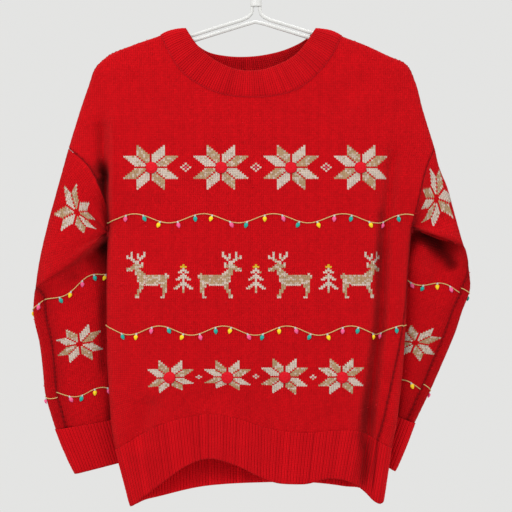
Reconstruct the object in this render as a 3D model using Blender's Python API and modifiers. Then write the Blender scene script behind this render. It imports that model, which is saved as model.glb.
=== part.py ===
"""A knitted christmas sweater hung flat on a white wire hanger.

Each cut piece is a closed wall of knit: front and back panel, two sleeves, neckband, hem ribs and
cuffs. The wall's outer points follow the garment's own surface, and its ribs are raised over a plain
inside. Frame: +Z up, the front faces -Y, the origin is where the hook hangs. Tables are in millimetres
and the meshes in metres.
"""

import math

import bpy
import numpy as np
from mathutils import Vector
from mathutils.bvhtree import BVHTree

# ---------------------------------------------------------------- driving dimensions, millimetres
MM = 0.001
WALL = 2.5
BAND_WALL = 3.0
SEAM_GAP = 0.3
ARMHOLE_GAP = 0.35
RIB_PITCH = 4.4
RIB_RAISE = 1.1
RIB_INSIDE_STEP = 2
WIRE = 4.7
SEAT_GAP = 0.8

BERRY_RADIUS = 7.9
BERRY_THICKNESS = 2.8
BERRY_GAP = 0.35
BERRY_SIDES = 12
BERRY_PROFILE = [(1.0, 0.0), (1.0, 0.6), (0.75, 1.0)]  # share of the radius, share of the height

HOOK_INNER_RADIUS = 18.0
HOOK_ANGLES = range(-35, 196, 11)
HOOK_NECK = [(0, -46.5), (3, -42.5), (9, -38.5)]
FERRULE_TOP = -51.0
FERRULE_BOTTOM = -68.0
FERRULE_WIDTH = 15.5
FERRULE_DEPTH = 9.0
FERRULE_ROUNDING = 1.2
FERRULE_SIDES = 20

# ------------------------------------------------------------------ the garment's outline, x and z
# From the hem's seam up to the underarm.
SIDE = {
    "left": [(-188, -660), (-190, -640), (-194, -587), (-197, -540), (-198, -480), (-198, -420),
             (-198, -368)],
    "right": [(181, -658), (184, -638), (190, -587), (193, -540), (195, -480), (198, -415),
              (203, -360)],
}
# From the underarm up to the top of the armhole, on the ridge of the drop shoulder.
ARMHOLE = {
    "left": [(-198, -368), (-200, -340), (-208, -310), (-224, -281), (-251, -258)],
    "right": [(203, -360), (211, -339), (220, -310), (228, -282), (239, -257)],
}
# From the top of the armhole over the hanger's tip to the neck.
RIDGE = {
    "left": [(-251, -258), (-235, -206), (-224, -174), (-215, -150), (-197, -133), (-167, -120),
             (-127, -106)],
    "right": [(239, -257), (223, -205), (213, -168), (202, -146), (176, -133), (146, -119),
              (114, -107)],
}
# The hem, one row for each place across: the seam above the rib, then the rib's lower edge.
HEM_FRONT = [  # seam x, seam z, edge x, edge z
    (-188, -660, -169, -733),
    (-160, -643, -146, -719),
    (-134, -628, -124, -702),
    (-94, -615, -88, -677),
    (-58, -610, -58, -669),
    (-21, -617, -24, -679),
    (8, -627, 6, -694),
    (36, -633, 31, -703),
    (70, -635, 63, -704),
    (106, -632, 97, -696),
    (137, -634, 124, -701),
    (158, -645, 146, -714),
    (181, -658, 170, -732),
]
HEM_BACK = [  # seam x, seam z, edge x, edge z
    (-188, -660, -169, -733),
    (-142, -654, -136, -727),
    (-79, -646, -76, -713),
    (0, -640, 0, -706),
    (80, -640, 76, -706),
    (140, -648, 134, -716),
    (181, -658, 170, -732),
]
# The neckline where the panels meet the band, and the band's upper edge.
NECKLINE_FRONT = [(-127, -106), (-118, -126), (-96, -159), (-72, -176), (-40, -188), (-7, -191), (25, -189),
                  (51, -182), (80, -161), (102, -133), (114, -107)]
NECKLINE_BACK = [(-127, -106), (-112, -128), (-90, -146), (-50, -162), (-7, -168), (36, -164), (76, -149),
                 (100, -128), (114, -107)]
NECK_EDGE_FRONT = [(-94, -97), (-79, -120), (-62, -136), (-40, -149), (-18, -155), (3, -155), (25, -149),
                   (51, -135), (69, -114), (80, -97)]
NECK_EDGE_BACK = [(-94, -97), (-84, -113), (-66, -126), (-40, -132), (-14, -133), (14, -130), (46, -121),
                  (68, -109), (80, -97)]
NECK_EDGE_DEPTH = {"front": 16.0, "back": 13.0}
# How the band's upper edge turns over the hanger's arms.
NECK_EDGE_LENGTH = 220.0
NECK_EDGE_RADIUS = 6.0
NECK_EDGE_TO_FULL = 32.0
BAND_BULGE = 2.0

# How far the cloth stands before and behind the hanging plane, by height.
DEPTHS = [  # z, front, back, radius of the folded edge
    (-740, 25, 20, 8.0),
    (-660, 26, 21, 8.0),
    (-450, 27, 22, 8.0),
    (-300, 25, 20, 7.0),
    (-200, 21, 17, 6.2),
    (-100, 17, 13, 5.7),
]
EDGE_TO_FULL = 42.0
FOLD_FADE = 12.0
# A fold keeps its height over this half share of its length, then fades over the next.
FOLD_FULL_SHARE = 0.35
FOLD_END_SHARE = 0.18

# Soft troughs (negative) and ridges (positive) of the hanging panels.
FOLDS = [  # side, x from, z from, x to, z to, half-width, height
    ("front", -204, -235, -205, -335, 9, -8.0),
    ("front", -189, -225, -190, -350, 8, 3.0),
    ("front", 168, -335, 146, -480, 13, -8.0),
    ("front", 146, -480, 143, -640, 12, -9.0),
    ("front", 188, -250, 176, -400, 12, 3.0),
    ("front", -143, -592, -158, -655, 14, -6.0),
    ("front", -45, -600, -44, -690, 16, 5.0),
    ("front", 20, -560, 40, -690, 26, -5.0),
    ("front", 150, -160, 100, -215, 16, -3.0),
    ("front", -165, -160, -118, -215, 16, -3.0),
    ("front", -120, -420, -110, -600, 30, 3.0),
    ("front", 88, -420, 104, -600, 26, 3.0),
    ("back", -120, -330, -105, -620, 16, -6.0),
    ("back", 60, -380, 92, -640, 18, -6.0),
    ("back", 150, -250, 128, -420, 14, -5.0),
    ("back", -20, -440, -8, -690, 24, 4.0),
    ("back", -190, -230, -188, -330, 10, -5.0),
]

# The side seams lie off the folded edge, turned forward on the right: degrees at the hem.
SEAM_TURN = {"left": 22.0, "right": 27.0}
NO_LIMIT = 400.0

# Height of a row in the panel, 0 at the hem's seam and 1 at the neck.
V_UNDERARM = 0.45
V_ARMHOLE_TOP = 0.65
BODY_CELLS = 9
ARMHOLE_CELLS = 10
RIDGE_STOPS = (0.28, 0.42, 0.50, 0.56, 0.62, 0.68, 0.77, 0.88, 1.0)
PANEL_COLUMNS = 22

# Sleeves: one row for each ring below the armhole. The outer edge lies away from the body.
SLEEVE_EDGE_RADIUS = 6.0
SLEEVE_EDGE_TO_FULL = 20.0
SLEEVE_LEFT = [  # outer x, y, z, inner x, y, z, front, back, sag
    (-257, 0, -284, -200.5, 0.5, -370, 15, 13, 0),
    (-265, 0, -315, -203, 2, -372, 17, 14, 2),
    (-275, 1, -352, -205, 4, -374.5, 18, 14, 5),
    (-287, 2, -398, -206.5, 6, -377, 20, 14, 9),
    (-290, 2, -410, -203.5, 11, -385, 9, 13, 9),
    (-295, 3, -445, -197, 19, -404, 11, 14, 4),
    (-296, 4, -478, -188, 29, -441, 13, 14, 0),
    (-289, 4, -521, -181, 33, -500, 13, 13, 0),
    (-286, 4, -555, -177, 34, -545, 12, 13, 0),
    (-282, 4, -590, -174, 34, -583, 12, 12, 0),
    (-274, 4, -618, -172, 34, -606, 11, 11, 0),
    (-269, 4, -634, -171, 34, -620, 9, 9, 0),
]
SLEEVE_RIGHT = [  # outer x, y, z, inner x, y, z, front, back, sag
    (245, 0, -283, 208.5, 1, -365, 15, 12, 0),
    (256, 0, -310, 211, 2, -367, 17, 13, 2),
    (265, 1, -342, 213, 4, -369, 18, 13, 5),
    (277, 2, -381, 214.5, 6, -372, 20, 14, 10),
    (281, 2, -393, 209, 12, -381, 9, 13, 10),
    (286, 4, -420, 200, 21, -397, 11, 14, 4),
    (286, 6, -447, 190, 33, -426, 13, 14, 0),
    (277, 9, -477, 178, 40, -462, 13, 13, 0),
    (269, 11, -503, 163, 43, -490, 12, 13, 0),
    (252, 14, -545, 147, 44, -527, 12, 12, 0),
    (235, 18, -585, 135, 45, -562, 11, 11, 0),
    (215, 21, -628, 127, 45, -594, 9, 9, 0),
]
CUFFS = {  # lower edge: outer x, y, z, inner x, y, z, half-depth
    "left": (-243, 5, -694, -159, 33, -676, 7.5),
    "right": (188, 25, -688, 112, 44, -650, 7.5),
}
CUFF_BULGE = 1.0

# Round raised berries, sewn on the front panel: x, z.
BERRY_ROWS = [(-285, (-138, -46, 46, 138)), (-562, (-114, -38, 38, 114))]

# The hanger's bent wire, left arm: x, y, z. The shoulder stretch is worked out from the ridge.
NECK_STRAND = [(-5.2, 0, -68.3), (-5.2, 0, -73), (-6.4, 0, -77.5), (-10.5, 0, -82), (-19, 0, -86)]
UPPER_STRAND = [(-52, 0, -96), (-88, 0, -107.5), (-126, 0, -117)]
LOWER_STRAND = [(-126, -1, -126), (-84, -2, -114), (-40, -3, -100.5), (-12, -3.5, -92)]
LOWER_APEX = (-1, -3.5, -89)
STRAND_STEP = 7.4
LOWER_STEP = 7.8
TIP_INSET = 1.5
TIP_ANGLES = (60.0, -75.0)
TIP_POINTS = 6
SEATED_POINTS = 6
# The strand lies in the ridge from this far out, and turns back at the tip.
SEAT_FROM_X = 160.0
TIP_X = {"left": 211.0, "right": 197.0}

COLOURS = {  # linear red, green, blue, then roughness
    "knit_red": (0.56, 0.006, 0.012, 0.95),
    "rib_red": (0.50, 0.005, 0.010, 0.95),
    "berry_red": (0.62, 0.010, 0.014, 0.9),
    "wire_white": (0.86, 0.86, 0.85, 0.35),
}


# ------------------------------------------------------------------------------- curves and depth
def hermite(knots, points, t):
    """Smooth curve through the points, read at t."""
    knots = np.asarray(knots, float)
    points = np.asarray(points, float)
    slopes = np.gradient(points, knots, axis=0)
    t = np.clip(t, knots[0], knots[-1])
    i = np.clip(np.searchsorted(knots, t, side="right") - 1, 0, len(knots) - 2)
    span = (knots[i + 1] - knots[i])[..., None]
    s = (t - knots[i])[..., None] / span
    start = (2 * s**3 - 3 * s**2 + 1) * points[i] + (s**3 - 2 * s**2 + s) * span * slopes[i]
    end = (3 * s**2 - 2 * s**3) * points[i + 1] + (s**3 - s**2) * span * slopes[i + 1]
    return start + end


def along(points):
    """The curve through points as a function of the share of its length."""
    points = np.asarray(points, float)
    steps = np.linalg.norm(np.diff(points, axis=0), axis=1)
    knots = np.concatenate([[0.0], np.cumsum(steps)]) / steps.sum()
    return lambda share: hermite(knots, points, np.asarray(share, float))


def hem_curves(table):
    """The hem's seam and lower edge as functions of the same share across."""
    table = np.asarray(table, float)
    steps = np.linalg.norm(np.diff(table[:, :2], axis=0), axis=1)
    knots = np.concatenate([[0.0], np.cumsum(steps)]) / steps.sum()
    return (
        lambda share: hermite(knots, table[:, :2], share),
        lambda share: hermite(knots, table[:, 2:], share),
    )


HEM = {"front": hem_curves(HEM_FRONT), "back": hem_curves(HEM_BACK)}
NECKLINE = {"front": along(NECKLINE_FRONT), "back": along(NECKLINE_BACK)}
EDGE_PARTS = {hand: (along(SIDE[hand]), along(ARMHOLE[hand]), along(RIDGE[hand])) for hand in SIDE}


def edge(hand, v):
    """The panel's left or right boundary at height v."""
    side, armhole, ridge = EDGE_PARTS[hand]
    v = np.asarray(v, float)
    low = side(v / V_UNDERARM)
    middle = armhole((v - V_UNDERARM) / (V_ARMHOLE_TOP - V_UNDERARM))
    high = ridge((v - V_ARMHOLE_TOP) / (1 - V_ARMHOLE_TOP))
    upper = np.where((v < V_ARMHOLE_TOP)[..., None], middle, high)
    return np.where((v < V_UNDERARM)[..., None], low, upper)


def outline_segments():
    """Short straight pieces of the folded edges: side, hem corner, ridge and the upper sleeve's outside."""
    chains = []
    shares = np.linspace(0, 1, 40)
    corners = {"left": 0, "right": -1}
    for hand, table in (("left", SLEEVE_LEFT), ("right", SLEEVE_RIGHT)):
        side, _, ridge = EDGE_PARTS[hand]
        hem_corner = np.array([HEM_FRONT[corners[hand]][2:]], float)
        chains.append(np.concatenate([hem_corner, side(shares)]))
        sleeve = np.array([(row[0], row[2]) for row in table[:4]], float)
        chains.append(np.concatenate([sleeve[::-1], ridge(shares)]))
    starts = np.concatenate([chain[:-1] for chain in chains])
    ends = np.concatenate([chain[1:] for chain in chains])
    return starts, ends


OUTLINE = outline_segments()


def distance_in(x, z):
    """Distance of each point to the nearest folded edge."""
    starts, ends = OUTLINE
    points = np.stack([x, z], -1)[..., None, :]
    runs = ends - starts
    share = np.clip(((points - starts) * runs).sum(-1) / (runs**2).sum(-1), 0, 1)
    return np.linalg.norm(points - starts - share[..., None] * runs, axis=-1).min(-1)


def round_edge(distance, radius):
    """A quarter round that starts at the folded edge."""
    return radius * np.sqrt(np.clip(1 - (1 - np.minimum(distance / radius, 1)) ** 2, 0, 1))


def fold_height(side, x, z):
    """The folds of one side added up."""
    total = np.zeros_like(x)
    for where, x0, z0, x1, z1, width, height in FOLDS:
        if where != side:
            continue
        run = np.array([x1 - x0, z1 - z0], float)
        length = np.linalg.norm(run)
        t = ((x - x0) * run[0] + (z - z0) * run[1]) / length**2
        off = ((x - x0) * run[1] - (z - z0) * run[0]) / length
        past = np.maximum(np.abs(t - 0.5) - FOLD_FULL_SHARE, 0)
        end_fade = np.exp(-((past / FOLD_END_SHARE) ** 2))
        total += height * np.exp(-((off / width) ** 2)) * end_fade
    return total


def depth(side, x, z):
    """How far the outer face stands from the hanging plane."""
    table = np.asarray(DEPTHS, float)
    full = np.interp(z, table[:, 0], table[:, 1 if side == "front" else 2])
    radius = np.interp(z, table[:, 0], table[:, 3])
    inside = distance_in(x, z)
    rise = 1 - np.exp(-inside / EDGE_TO_FULL)
    folds = fold_height(side, x, z) * (1 - np.exp(-inside / FOLD_FADE))
    return round_edge(inside, radius) + (full - radius) * rise + folds


# ------------------------------------------------------------------------------ the body's surface
def panel_face(side, turn, v):
    """A point of the front or back, turn from -90 to 90 degrees across it. Below 0, v runs down the rib."""
    share = (np.sin(np.radians(turn)) + 1) / 2
    seam, lower = HEM[side]
    up = np.clip(v, 0, 1)[..., None]
    down = np.clip(-v, 0, 1)[..., None]
    across = share[..., None]
    bottom, top = seam(share), NECKLINE[side](share)
    left, right = edge("left", np.clip(v, 0, 1)), edge("right", np.clip(v, 0, 1))
    corner = {hand: (edge(hand, 0.0), edge(hand, 1.0)) for hand in SIDE}
    flat = (1 - up) * bottom + up * top
    flat = flat + (1 - across) * (left - (1 - up) * corner["left"][0] - up * corner["left"][1])
    flat = flat + across * (right - (1 - up) * corner["right"][0] - up * corner["right"][1])
    flat = flat + down * (lower(share) - bottom)
    x, z = flat[..., 0], flat[..., 1]
    away = depth(side, x, z)
    return np.stack([x, -away if side == "front" else away, z], -1)


def body_point(turn, v):
    """The body's outer face. From -90 to 90 degrees it is the front, and on to 270 the back."""
    turn, v = np.broadcast_arrays(np.asarray(turn, float), np.asarray(v, float))
    turn = np.where(turn < -90, turn + 360, turn)
    front = turn <= 90
    before = panel_face("front", np.where(front, turn, 0), v)
    behind = panel_face("back", np.where(front, 0, 180 - turn), v)
    return np.where(front[..., None], before, behind)


def unit(vectors):
    return vectors / np.maximum(np.linalg.norm(vectors, axis=-1, keepdims=True), 1e-9)


def body_normal(turn, v, low_turn, high_turn, low_v=-1.0, high_v=1.0):
    """Outward normal. The turn limits keep an open armhole's edge from reading the far panel."""
    step, rise = 0.6, 0.006
    ahead = body_point(np.minimum(turn + step, high_turn), v)
    behind = body_point(np.maximum(turn - step, low_turn), v)
    above = body_point(turn, np.minimum(v + rise, high_v))
    below = body_point(turn, np.maximum(v - rise, low_v))
    return unit(np.cross(ahead - behind, above - below))


def seam_turns(v):
    """Where the left and right side seams lie, in degrees round the body."""
    share = np.clip(1 - np.maximum(v, 0) / V_UNDERARM, 0, 1)
    share = share * share * (3 - 2 * share)
    return -90 - SEAM_TURN["left"] * share, 90 - SEAM_TURN["right"] * share


def panel_rows():
    """The heights of a panel's rows, closer where the outline turns."""
    body = np.linspace(0, V_UNDERARM, BODY_CELLS + 1)[:-1]
    turn = np.linspace(0, math.pi, ARMHOLE_CELLS + 1)[:-1]
    armhole = V_UNDERARM + (V_ARMHOLE_TOP - V_UNDERARM) * (1 - np.cos(turn)) / 2
    ridge = V_ARMHOLE_TOP + (1 - V_ARMHOLE_TOP) * np.array((0.0,) + RIDGE_STOPS)
    return np.concatenate([body, armhole, ridge])


def panel_grid(side, rows, columns):
    """Outer points and normals of one panel, and its turn angles."""
    left, right = seam_turns(rows)
    if side == "front":
        start, end = left, right
    else:
        start, end = right, left + 360
    share = np.linspace(0, 1, columns + 1)
    turn = start[:, None] + (end - start)[:, None] * share
    v = np.repeat(rows[:, None], columns + 1, 1)
    open_edge = (v > V_UNDERARM + 1e-6) & (v < V_ARMHOLE_TOP - 1e-6)
    face = (-90.0, 90.0) if side == "front" else (90.001, 270.0)
    low = np.where(open_edge, face[0], -NO_LIMIT)
    high = np.where(open_edge, face[1], NO_LIMIT)
    points = body_point(np.where(open_edge, np.clip(turn, face[0], face[1]), turn), v)
    normals = body_normal(turn, v, low, high)
    return points, normals


# ---------------------------------------------------------------------------------- solid building
def collection(name):
    made = bpy.data.collections.new(name)
    bpy.context.scene.collection.children.link(made)
    return made


def material(name):
    found = bpy.data.materials.get(name)
    if found:
        return found
    red, green, blue, rough = COLOURS[name]
    made = bpy.data.materials.new(name)
    made.use_nodes = True
    shader = made.node_tree.nodes["Principled BSDF"]
    shader.inputs["Base Color"].default_value = (red, green, blue, 1)
    shader.inputs["Roughness"].default_value = rough
    shader.inputs["Metallic"].default_value = 0.0
    made.diffuse_color = (red, green, blue, 1)
    return made


def place(obj, home, paint):
    home.objects.link(obj)
    obj.data.materials.clear()
    obj.data.materials.append(material(paint))
    return obj


def strip(outer, inner, closed, flip, heights):
    """Triangles between an outer row of points and an inner row with fewer points. Where both have as many,
    the diagonal runs from the higher outer point, so that two pieces part cleanly at their seam."""
    count = len(inner) if closed else len(inner) - 1
    each = (len(outer) if closed else len(outer) - 1) // count
    faces = []
    for j in range(count):
        near, far = inner[j], inner[(j + 1) % len(inner)]
        for k in range(each):
            a = outer[(j * each + k) % len(outer)]
            b = outer[(j * each + k + 1) % len(outer)]
            if each == 1 and heights[a] > heights[b]:
                faces += [(a, b, far), (a, far, near)]
                continue
            faces.append((a, b, near if k < each / 2 else far))
            if k == (each - 1) // 2:
                faces.append((b, far, near))
    return [face[::-1] for face in faces] if flip else faces


def wall(name, outer, inner, home, paint, closed=False):
    """One closed solid between two grids of points (rows, columns, 3) in millimetres. The inner grid has
    as many rows as the outer one and as many columns or a whole share of them."""
    rows, columns = outer.shape[:2]
    inside = inner.shape[1]
    base = rows * columns
    out_id = np.arange(base).reshape(rows, columns)
    in_id = base + np.arange(rows * inside).reshape(rows, inside)
    faces = []
    for ids, width, flip in ((out_id, columns, False), (in_id, inside, True)):
        for r in range(rows - 1):
            for c in range(width if closed else width - 1):
                d = (c + 1) % width
                quad = (ids[r, c], ids[r, d], ids[r + 1, d], ids[r + 1, c])
                faces.append(quad[::-1] if flip else quad)
    heights = np.concatenate([outer.reshape(-1, 3)[:, 2], inner.reshape(-1, 3)[:, 2]])
    faces += strip(out_id[0], in_id[0], closed, True, heights)
    faces += strip(out_id[-1], in_id[-1], closed, False, heights)
    if not closed:
        for r in range(rows - 1):
            for column, flip in ((0, False), (-1, True)):
                near, far = out_id[r, column], out_id[r + 1, column]
                within, beyond = in_id[r, column], in_id[r + 1, column]
                for face in ((near, far, within), (within, far, beyond)):
                    faces.append(face[::-1] if flip else face)
    points = np.concatenate([outer.reshape(-1, 3), inner.reshape(-1, 3)]) * MM
    mesh = bpy.data.meshes.new(name)
    mesh.from_pydata(points.tolist(), [], [tuple(int(i) for i in face) for face in faces])
    mesh.validate()
    mesh.shade_smooth()
    mesh.set_sharp_from_angle(angle=math.radians(50))
    return place(bpy.data.objects.new(name, mesh), home, paint)


def resample(points, count, closed=False):
    """Points at even lengths along a chain of straight pieces."""
    chain = np.concatenate([points, points[:1]]) if closed else points
    steps = np.linalg.norm(np.diff(chain, axis=0), axis=1)
    at = np.concatenate([[0.0], np.cumsum(steps)])
    places = np.linspace(0, at[-1], count + 1)
    places = places[:-1] if closed else places
    return places / at[-1], np.stack([np.interp(places, at, chain[:, k]) for k in range(3)], -1)


def read_chain(points, other, shares, closed=False):
    """The chain other, read where points has these shares of its length."""
    chain = np.concatenate([points, points[:1]]) if closed else points
    mate = np.concatenate([other, other[:1]]) if closed else other
    steps = np.linalg.norm(np.diff(chain, axis=0), axis=1)
    at = np.concatenate([[0.0], np.cumsum(steps)]) / steps.sum()
    return np.stack([np.interp(shares, at, mate[:, k]) for k in range(3)], -1)


def ring_normals(points):
    """Outward normals of a grid whose columns run round closed rings and whose rows run upwards."""
    across = np.roll(points, -1, 1) - np.roll(points, 1, 1)
    up = np.gradient(points, axis=0)
    return unit(np.cross(across, up))


def soften(normals, rounds=2):
    """Averages each normal with its neighbours, so that the inside of a tight fold stays clear."""
    for _ in range(rounds):
        padded = np.concatenate([normals[:1], normals, normals[-1:]])
        normals = unit(
            2 * normals + padded[2:] + padded[:-2] + np.roll(normals, 1, 1) + np.roll(normals, -1, 1)
        )
    return normals


def raise_ribs(points, normals):
    """Every second column stands proud as the crown of a rib."""
    crowns = np.zeros(points.shape[1])
    crowns[::2] = RIB_RAISE
    return points + normals * crowns[None, :, None]


# ------------------------------------------------------------------------------- panels and ribs
def build_panels(home):
    """Both panels. Returns each one's outer and inner grid as built."""
    rows = panel_rows()
    underarm, top = BODY_CELLS, BODY_CELLS + ARMHOLE_CELLS
    made = {}
    for side in ("front", "back"):
        outer, normals = panel_grid(side, rows, PANEL_COLUMNS)
        hands = {"left": 0, "right": -1} if side == "front" else {"right": 0, "left": -1}
        for hand, column in hands.items():
            outward = -1.0 if hand == "left" else 1.0
            inward = 1 if column == 0 else -1
            normals[underarm, column] = unit(np.array([outward, 0.0, -1.0]))
            between = slice(underarm + 1, top)
            beside = normals[between, column + inward] + normals[between, column + 2 * inward]
            normals[between, column] = unit(beside)
            corner = normals[underarm + 1, column] + normals[underarm, column]
            normals[underarm + 1, column] = unit(corner)
            normals[top, column, 1] = 0.0
            normals[top:, column, 1] = 0.0
        normals = unit(normals)
        inner = outer - normals * WALL
        apart = np.array([0.0, -1.0 if side == "front" else 1.0, 0.0])
        for column, inward in ((0, 1), (-1, -1)):
            for r in range(len(rows)):
                if underarm < r < top:
                    continue
                step = apart
                if r < underarm:
                    rise = outer[r + 1, column] - outer[max(r - 1, 0), column]
                    step = unit(np.cross(normals[r, column], rise))
                    within = outer[r, column + inward] - outer[r, column]
                    step = step * math.copysign(1, step @ within)
                outer[r, column] += step * SEAM_GAP / 2
                inner[r, column] += step * SEAM_GAP / 2
        wall(side + "_panel", outer, inner, home, "knit_red")
        made[side] = (outer, inner, normals)
    return made


def build_hem_ribs(panels, home):
    """The rib under each panel: its top edge is the panel's own, moved down by the seam's gap."""
    for side, (outer, inner, _) in panels.items():
        length = np.linalg.norm(np.diff(outer[0], axis=0), axis=1).sum()
        cells = 2 * RIB_INSIDE_STEP * round(length / RIB_PITCH / RIB_INSIDE_STEP)
        shares, top_outer = resample(outer[0], cells)
        top_inner = read_chain(outer[0], inner[0], shares)
        left, right = seam_turns(np.array(0.0))
        start, end = (left, right) if side == "front" else (right, left + 360)
        fine = np.linspace(0, 1, PANEL_COLUMNS + 1)
        turns = start + (end - start) * np.interp(shares, *chain_shares(outer[0], fine))
        rows = [(top_outer, top_inner)]
        for v in (-0.5, -1.0):
            height = np.full_like(turns, v)
            points = body_point(turns, height)
            normals = body_normal(turns, height, -NO_LIMIT, NO_LIMIT)
            inside = points - normals * WALL
            for column, inward in ((0, 1), (-1, -1)):
                step = unit(points[column + inward] - points[column]) * SEAM_GAP / 2
                points[column] += step
                inside[column] += step
            rows.append((points, inside))
        down = unit(rows[1][0] - rows[0][0]) * SEAM_GAP
        rows[0] = (top_outer + down, top_inner + down)
        grid = np.stack([row[0] for row in rows[::-1]])
        inside = np.stack([row[1] for row in rows[::-1]])
        out = unit(grid - inside)
        ribs = raise_ribs(grid, out)
        ribs[:, 0] = grid[:, 0]
        ribs[:, -1] = grid[:, -1]
        wall("hem_rib_" + side, ribs, inside[:, :: 2 * RIB_INSIDE_STEP], home, "rib_red")


def chain_shares(points, values):
    """Shares of length of a chain's own points, beside the values that belong to them."""
    steps = np.linalg.norm(np.diff(points, axis=0), axis=1)
    return np.concatenate([[0.0], np.cumsum(steps)]) / steps.sum(), values


def neck_edge(side, share):
    """The band's upper edge, which turns tightly over the hanger's arms."""
    flat = along(NECK_EDGE_FRONT if side == "front" else NECK_EDGE_BACK)(share)
    full = NECK_EDGE_DEPTH[side]
    near_end = np.minimum(share, 1 - share) * NECK_EDGE_LENGTH
    rise = 1 - np.exp(-near_end / NECK_EDGE_TO_FULL)
    away = round_edge(near_end, NECK_EDGE_RADIUS) + (full - NECK_EDGE_RADIUS) * rise
    return np.stack([flat[:, 0], -away if side == "front" else away, flat[:, 1]], -1)


def build_neckband(panels, home):
    """A ring of radial ribs from the neckline to the band's upper edge."""
    front_outer, front_inner = panels["front"][0][-1], panels["front"][1][-1]
    back_outer, back_inner = panels["back"][0][-1], panels["back"][1][-1]
    ring_outer = np.concatenate([front_outer[:-1], back_outer[:-1]])
    ring_inner = np.concatenate([front_inner[:-1], back_inner[:-1]])
    length = np.linalg.norm(np.diff(np.concatenate([ring_outer, ring_outer[:1]]), axis=0), axis=1).sum()
    count = 2 * round(length / RIB_PITCH)
    shares, low_outer = resample(ring_outer, count, closed=True)
    low_inner = read_chain(ring_outer, ring_inner, shares, closed=True)
    columns = np.linspace(0, 1, PANEL_COLUMNS + 1)
    own = np.concatenate([columns[:-1], 1 + columns])
    closed_ring = np.concatenate([ring_outer, ring_outer[:1]])
    own_share, _ = chain_shares(closed_ring, own)
    place_on = np.interp(shares, own_share, own)
    turned = (np.sin(np.pi * ((place_on % 1.0) - 0.5)) + 1) / 2
    front = neck_edge("front", turned)
    back = neck_edge("back", 1 - turned)
    high_outer = np.where((place_on < 1)[:, None], front, back)
    rise = unit(high_outer - low_outer)
    low_outer = low_outer + rise * SEAM_GAP
    low_inner = low_inner + rise * SEAM_GAP
    middle = (low_outer + high_outer) / 2
    grid = np.stack([low_outer, middle, high_outer])
    normals = ring_normals(grid)
    normals[0] = unit(low_outer - low_inner)
    normals = unit(normals)
    grid[1] += normals[1] * BAND_BULGE
    inner = grid - normals * BAND_WALL
    inner[0] = low_inner
    wall("neckband", raise_ribs(grid, normals), inner[:, ::2], home, "rib_red", closed=True)


# --------------------------------------------------------------------------------- sleeves, cuffs
def armhole_ring(hand, panels):
    """The panels' edges at the armhole as one closed ring from its top down the front and up the back."""
    rows = slice(BODY_CELLS, BODY_CELLS + ARMHOLE_CELLS + 1)
    columns = {"left": (0, -1), "right": (-1, 0)}[hand]
    rings = []
    for grid in (0, 1, 2):
        before = panels["front"][grid][rows, columns[0]][::-1]
        behind = panels["back"][grid][rows, columns[1]]
        rings.append(np.concatenate([before[:-1], behind[:-1]]))
    outer, inner, normals = rings
    for i in (0, ARMHOLE_CELLS):
        outer[i, 1] = 0.0
        inner[i, 1] = 0.0
    tangent = np.roll(outer, -1, 0) - np.roll(outer, 1, 0)
    across = unit(np.cross(unit(outer - inner), tangent))
    outward = np.array([-1.0, 0, -0.4]) if hand == "left" else np.array([1.0, 0, -0.4])
    sign = np.where(across @ outward < 0, -1.0, 1.0)[:, None]
    across = across * sign
    across[ARMHOLE_CELLS] = unit(np.array([outward[0], 0.0, 1.0]))
    return outer + across * ARMHOLE_GAP, inner + across * ARMHOLE_GAP


def flat_ring(row, count):
    """A flattened ring of 2 * count points: down the front from the outer edge, back up behind."""
    ox, oy, oz, ix, iy, iz, front, back, sag = row
    start, end = np.array([ox, oy, oz], float), np.array([ix, iy, iz], float)
    chord = end - start
    width = np.linalg.norm(chord)
    forward = np.array([0.0, -1.0, 0.0])
    forward = unit(forward - chord * (forward @ chord) / width**2)
    turn = np.linspace(0, math.pi, count + 1)
    share = (1 - np.cos(turn)) / 2
    points = []
    for part, full, way in ((share[:-1], front, 1.0), (share[:0:-1], back, -1.0)):
        from_start, from_end = part * width, (1 - part) * width
        away = round_edge(np.minimum(from_start, from_end), SLEEVE_EDGE_RADIUS)
        rise = (1 - np.exp(-from_start / SLEEVE_EDGE_TO_FULL)) * (1 - np.exp(-from_end / SLEEVE_EDGE_TO_FULL))
        away = away + (full - SLEEVE_EDGE_RADIUS) * rise
        ring = start + part[:, None] * chord + way * away[:, None] * forward
        ring[:, 2] -= (sag if way > 0 else 0.0) * np.sin(math.pi * part) ** 2
        points.append(ring)
    return np.concatenate(points)


def build_sleeve(hand, table, panels, home):
    """Rings from the armhole's seam down to the cuff's seam. Returns the last outer and inner ring."""
    first_outer, first_inner = armhole_ring(hand, panels)
    rings = [first_outer] + [flat_ring(row, ARMHOLE_CELLS) for row in table]
    outer = np.stack(rings[::-1])
    if hand == "right":
        outer = outer[:, ::-1]
        first_inner = first_inner[::-1]
    normals = soften(ring_normals(outer))
    inner = outer - normals * WALL
    inner[-1] = first_inner
    wall("sleeve_" + hand, outer, inner, home, "knit_red", closed=True)
    return outer[0], inner[0]


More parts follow.
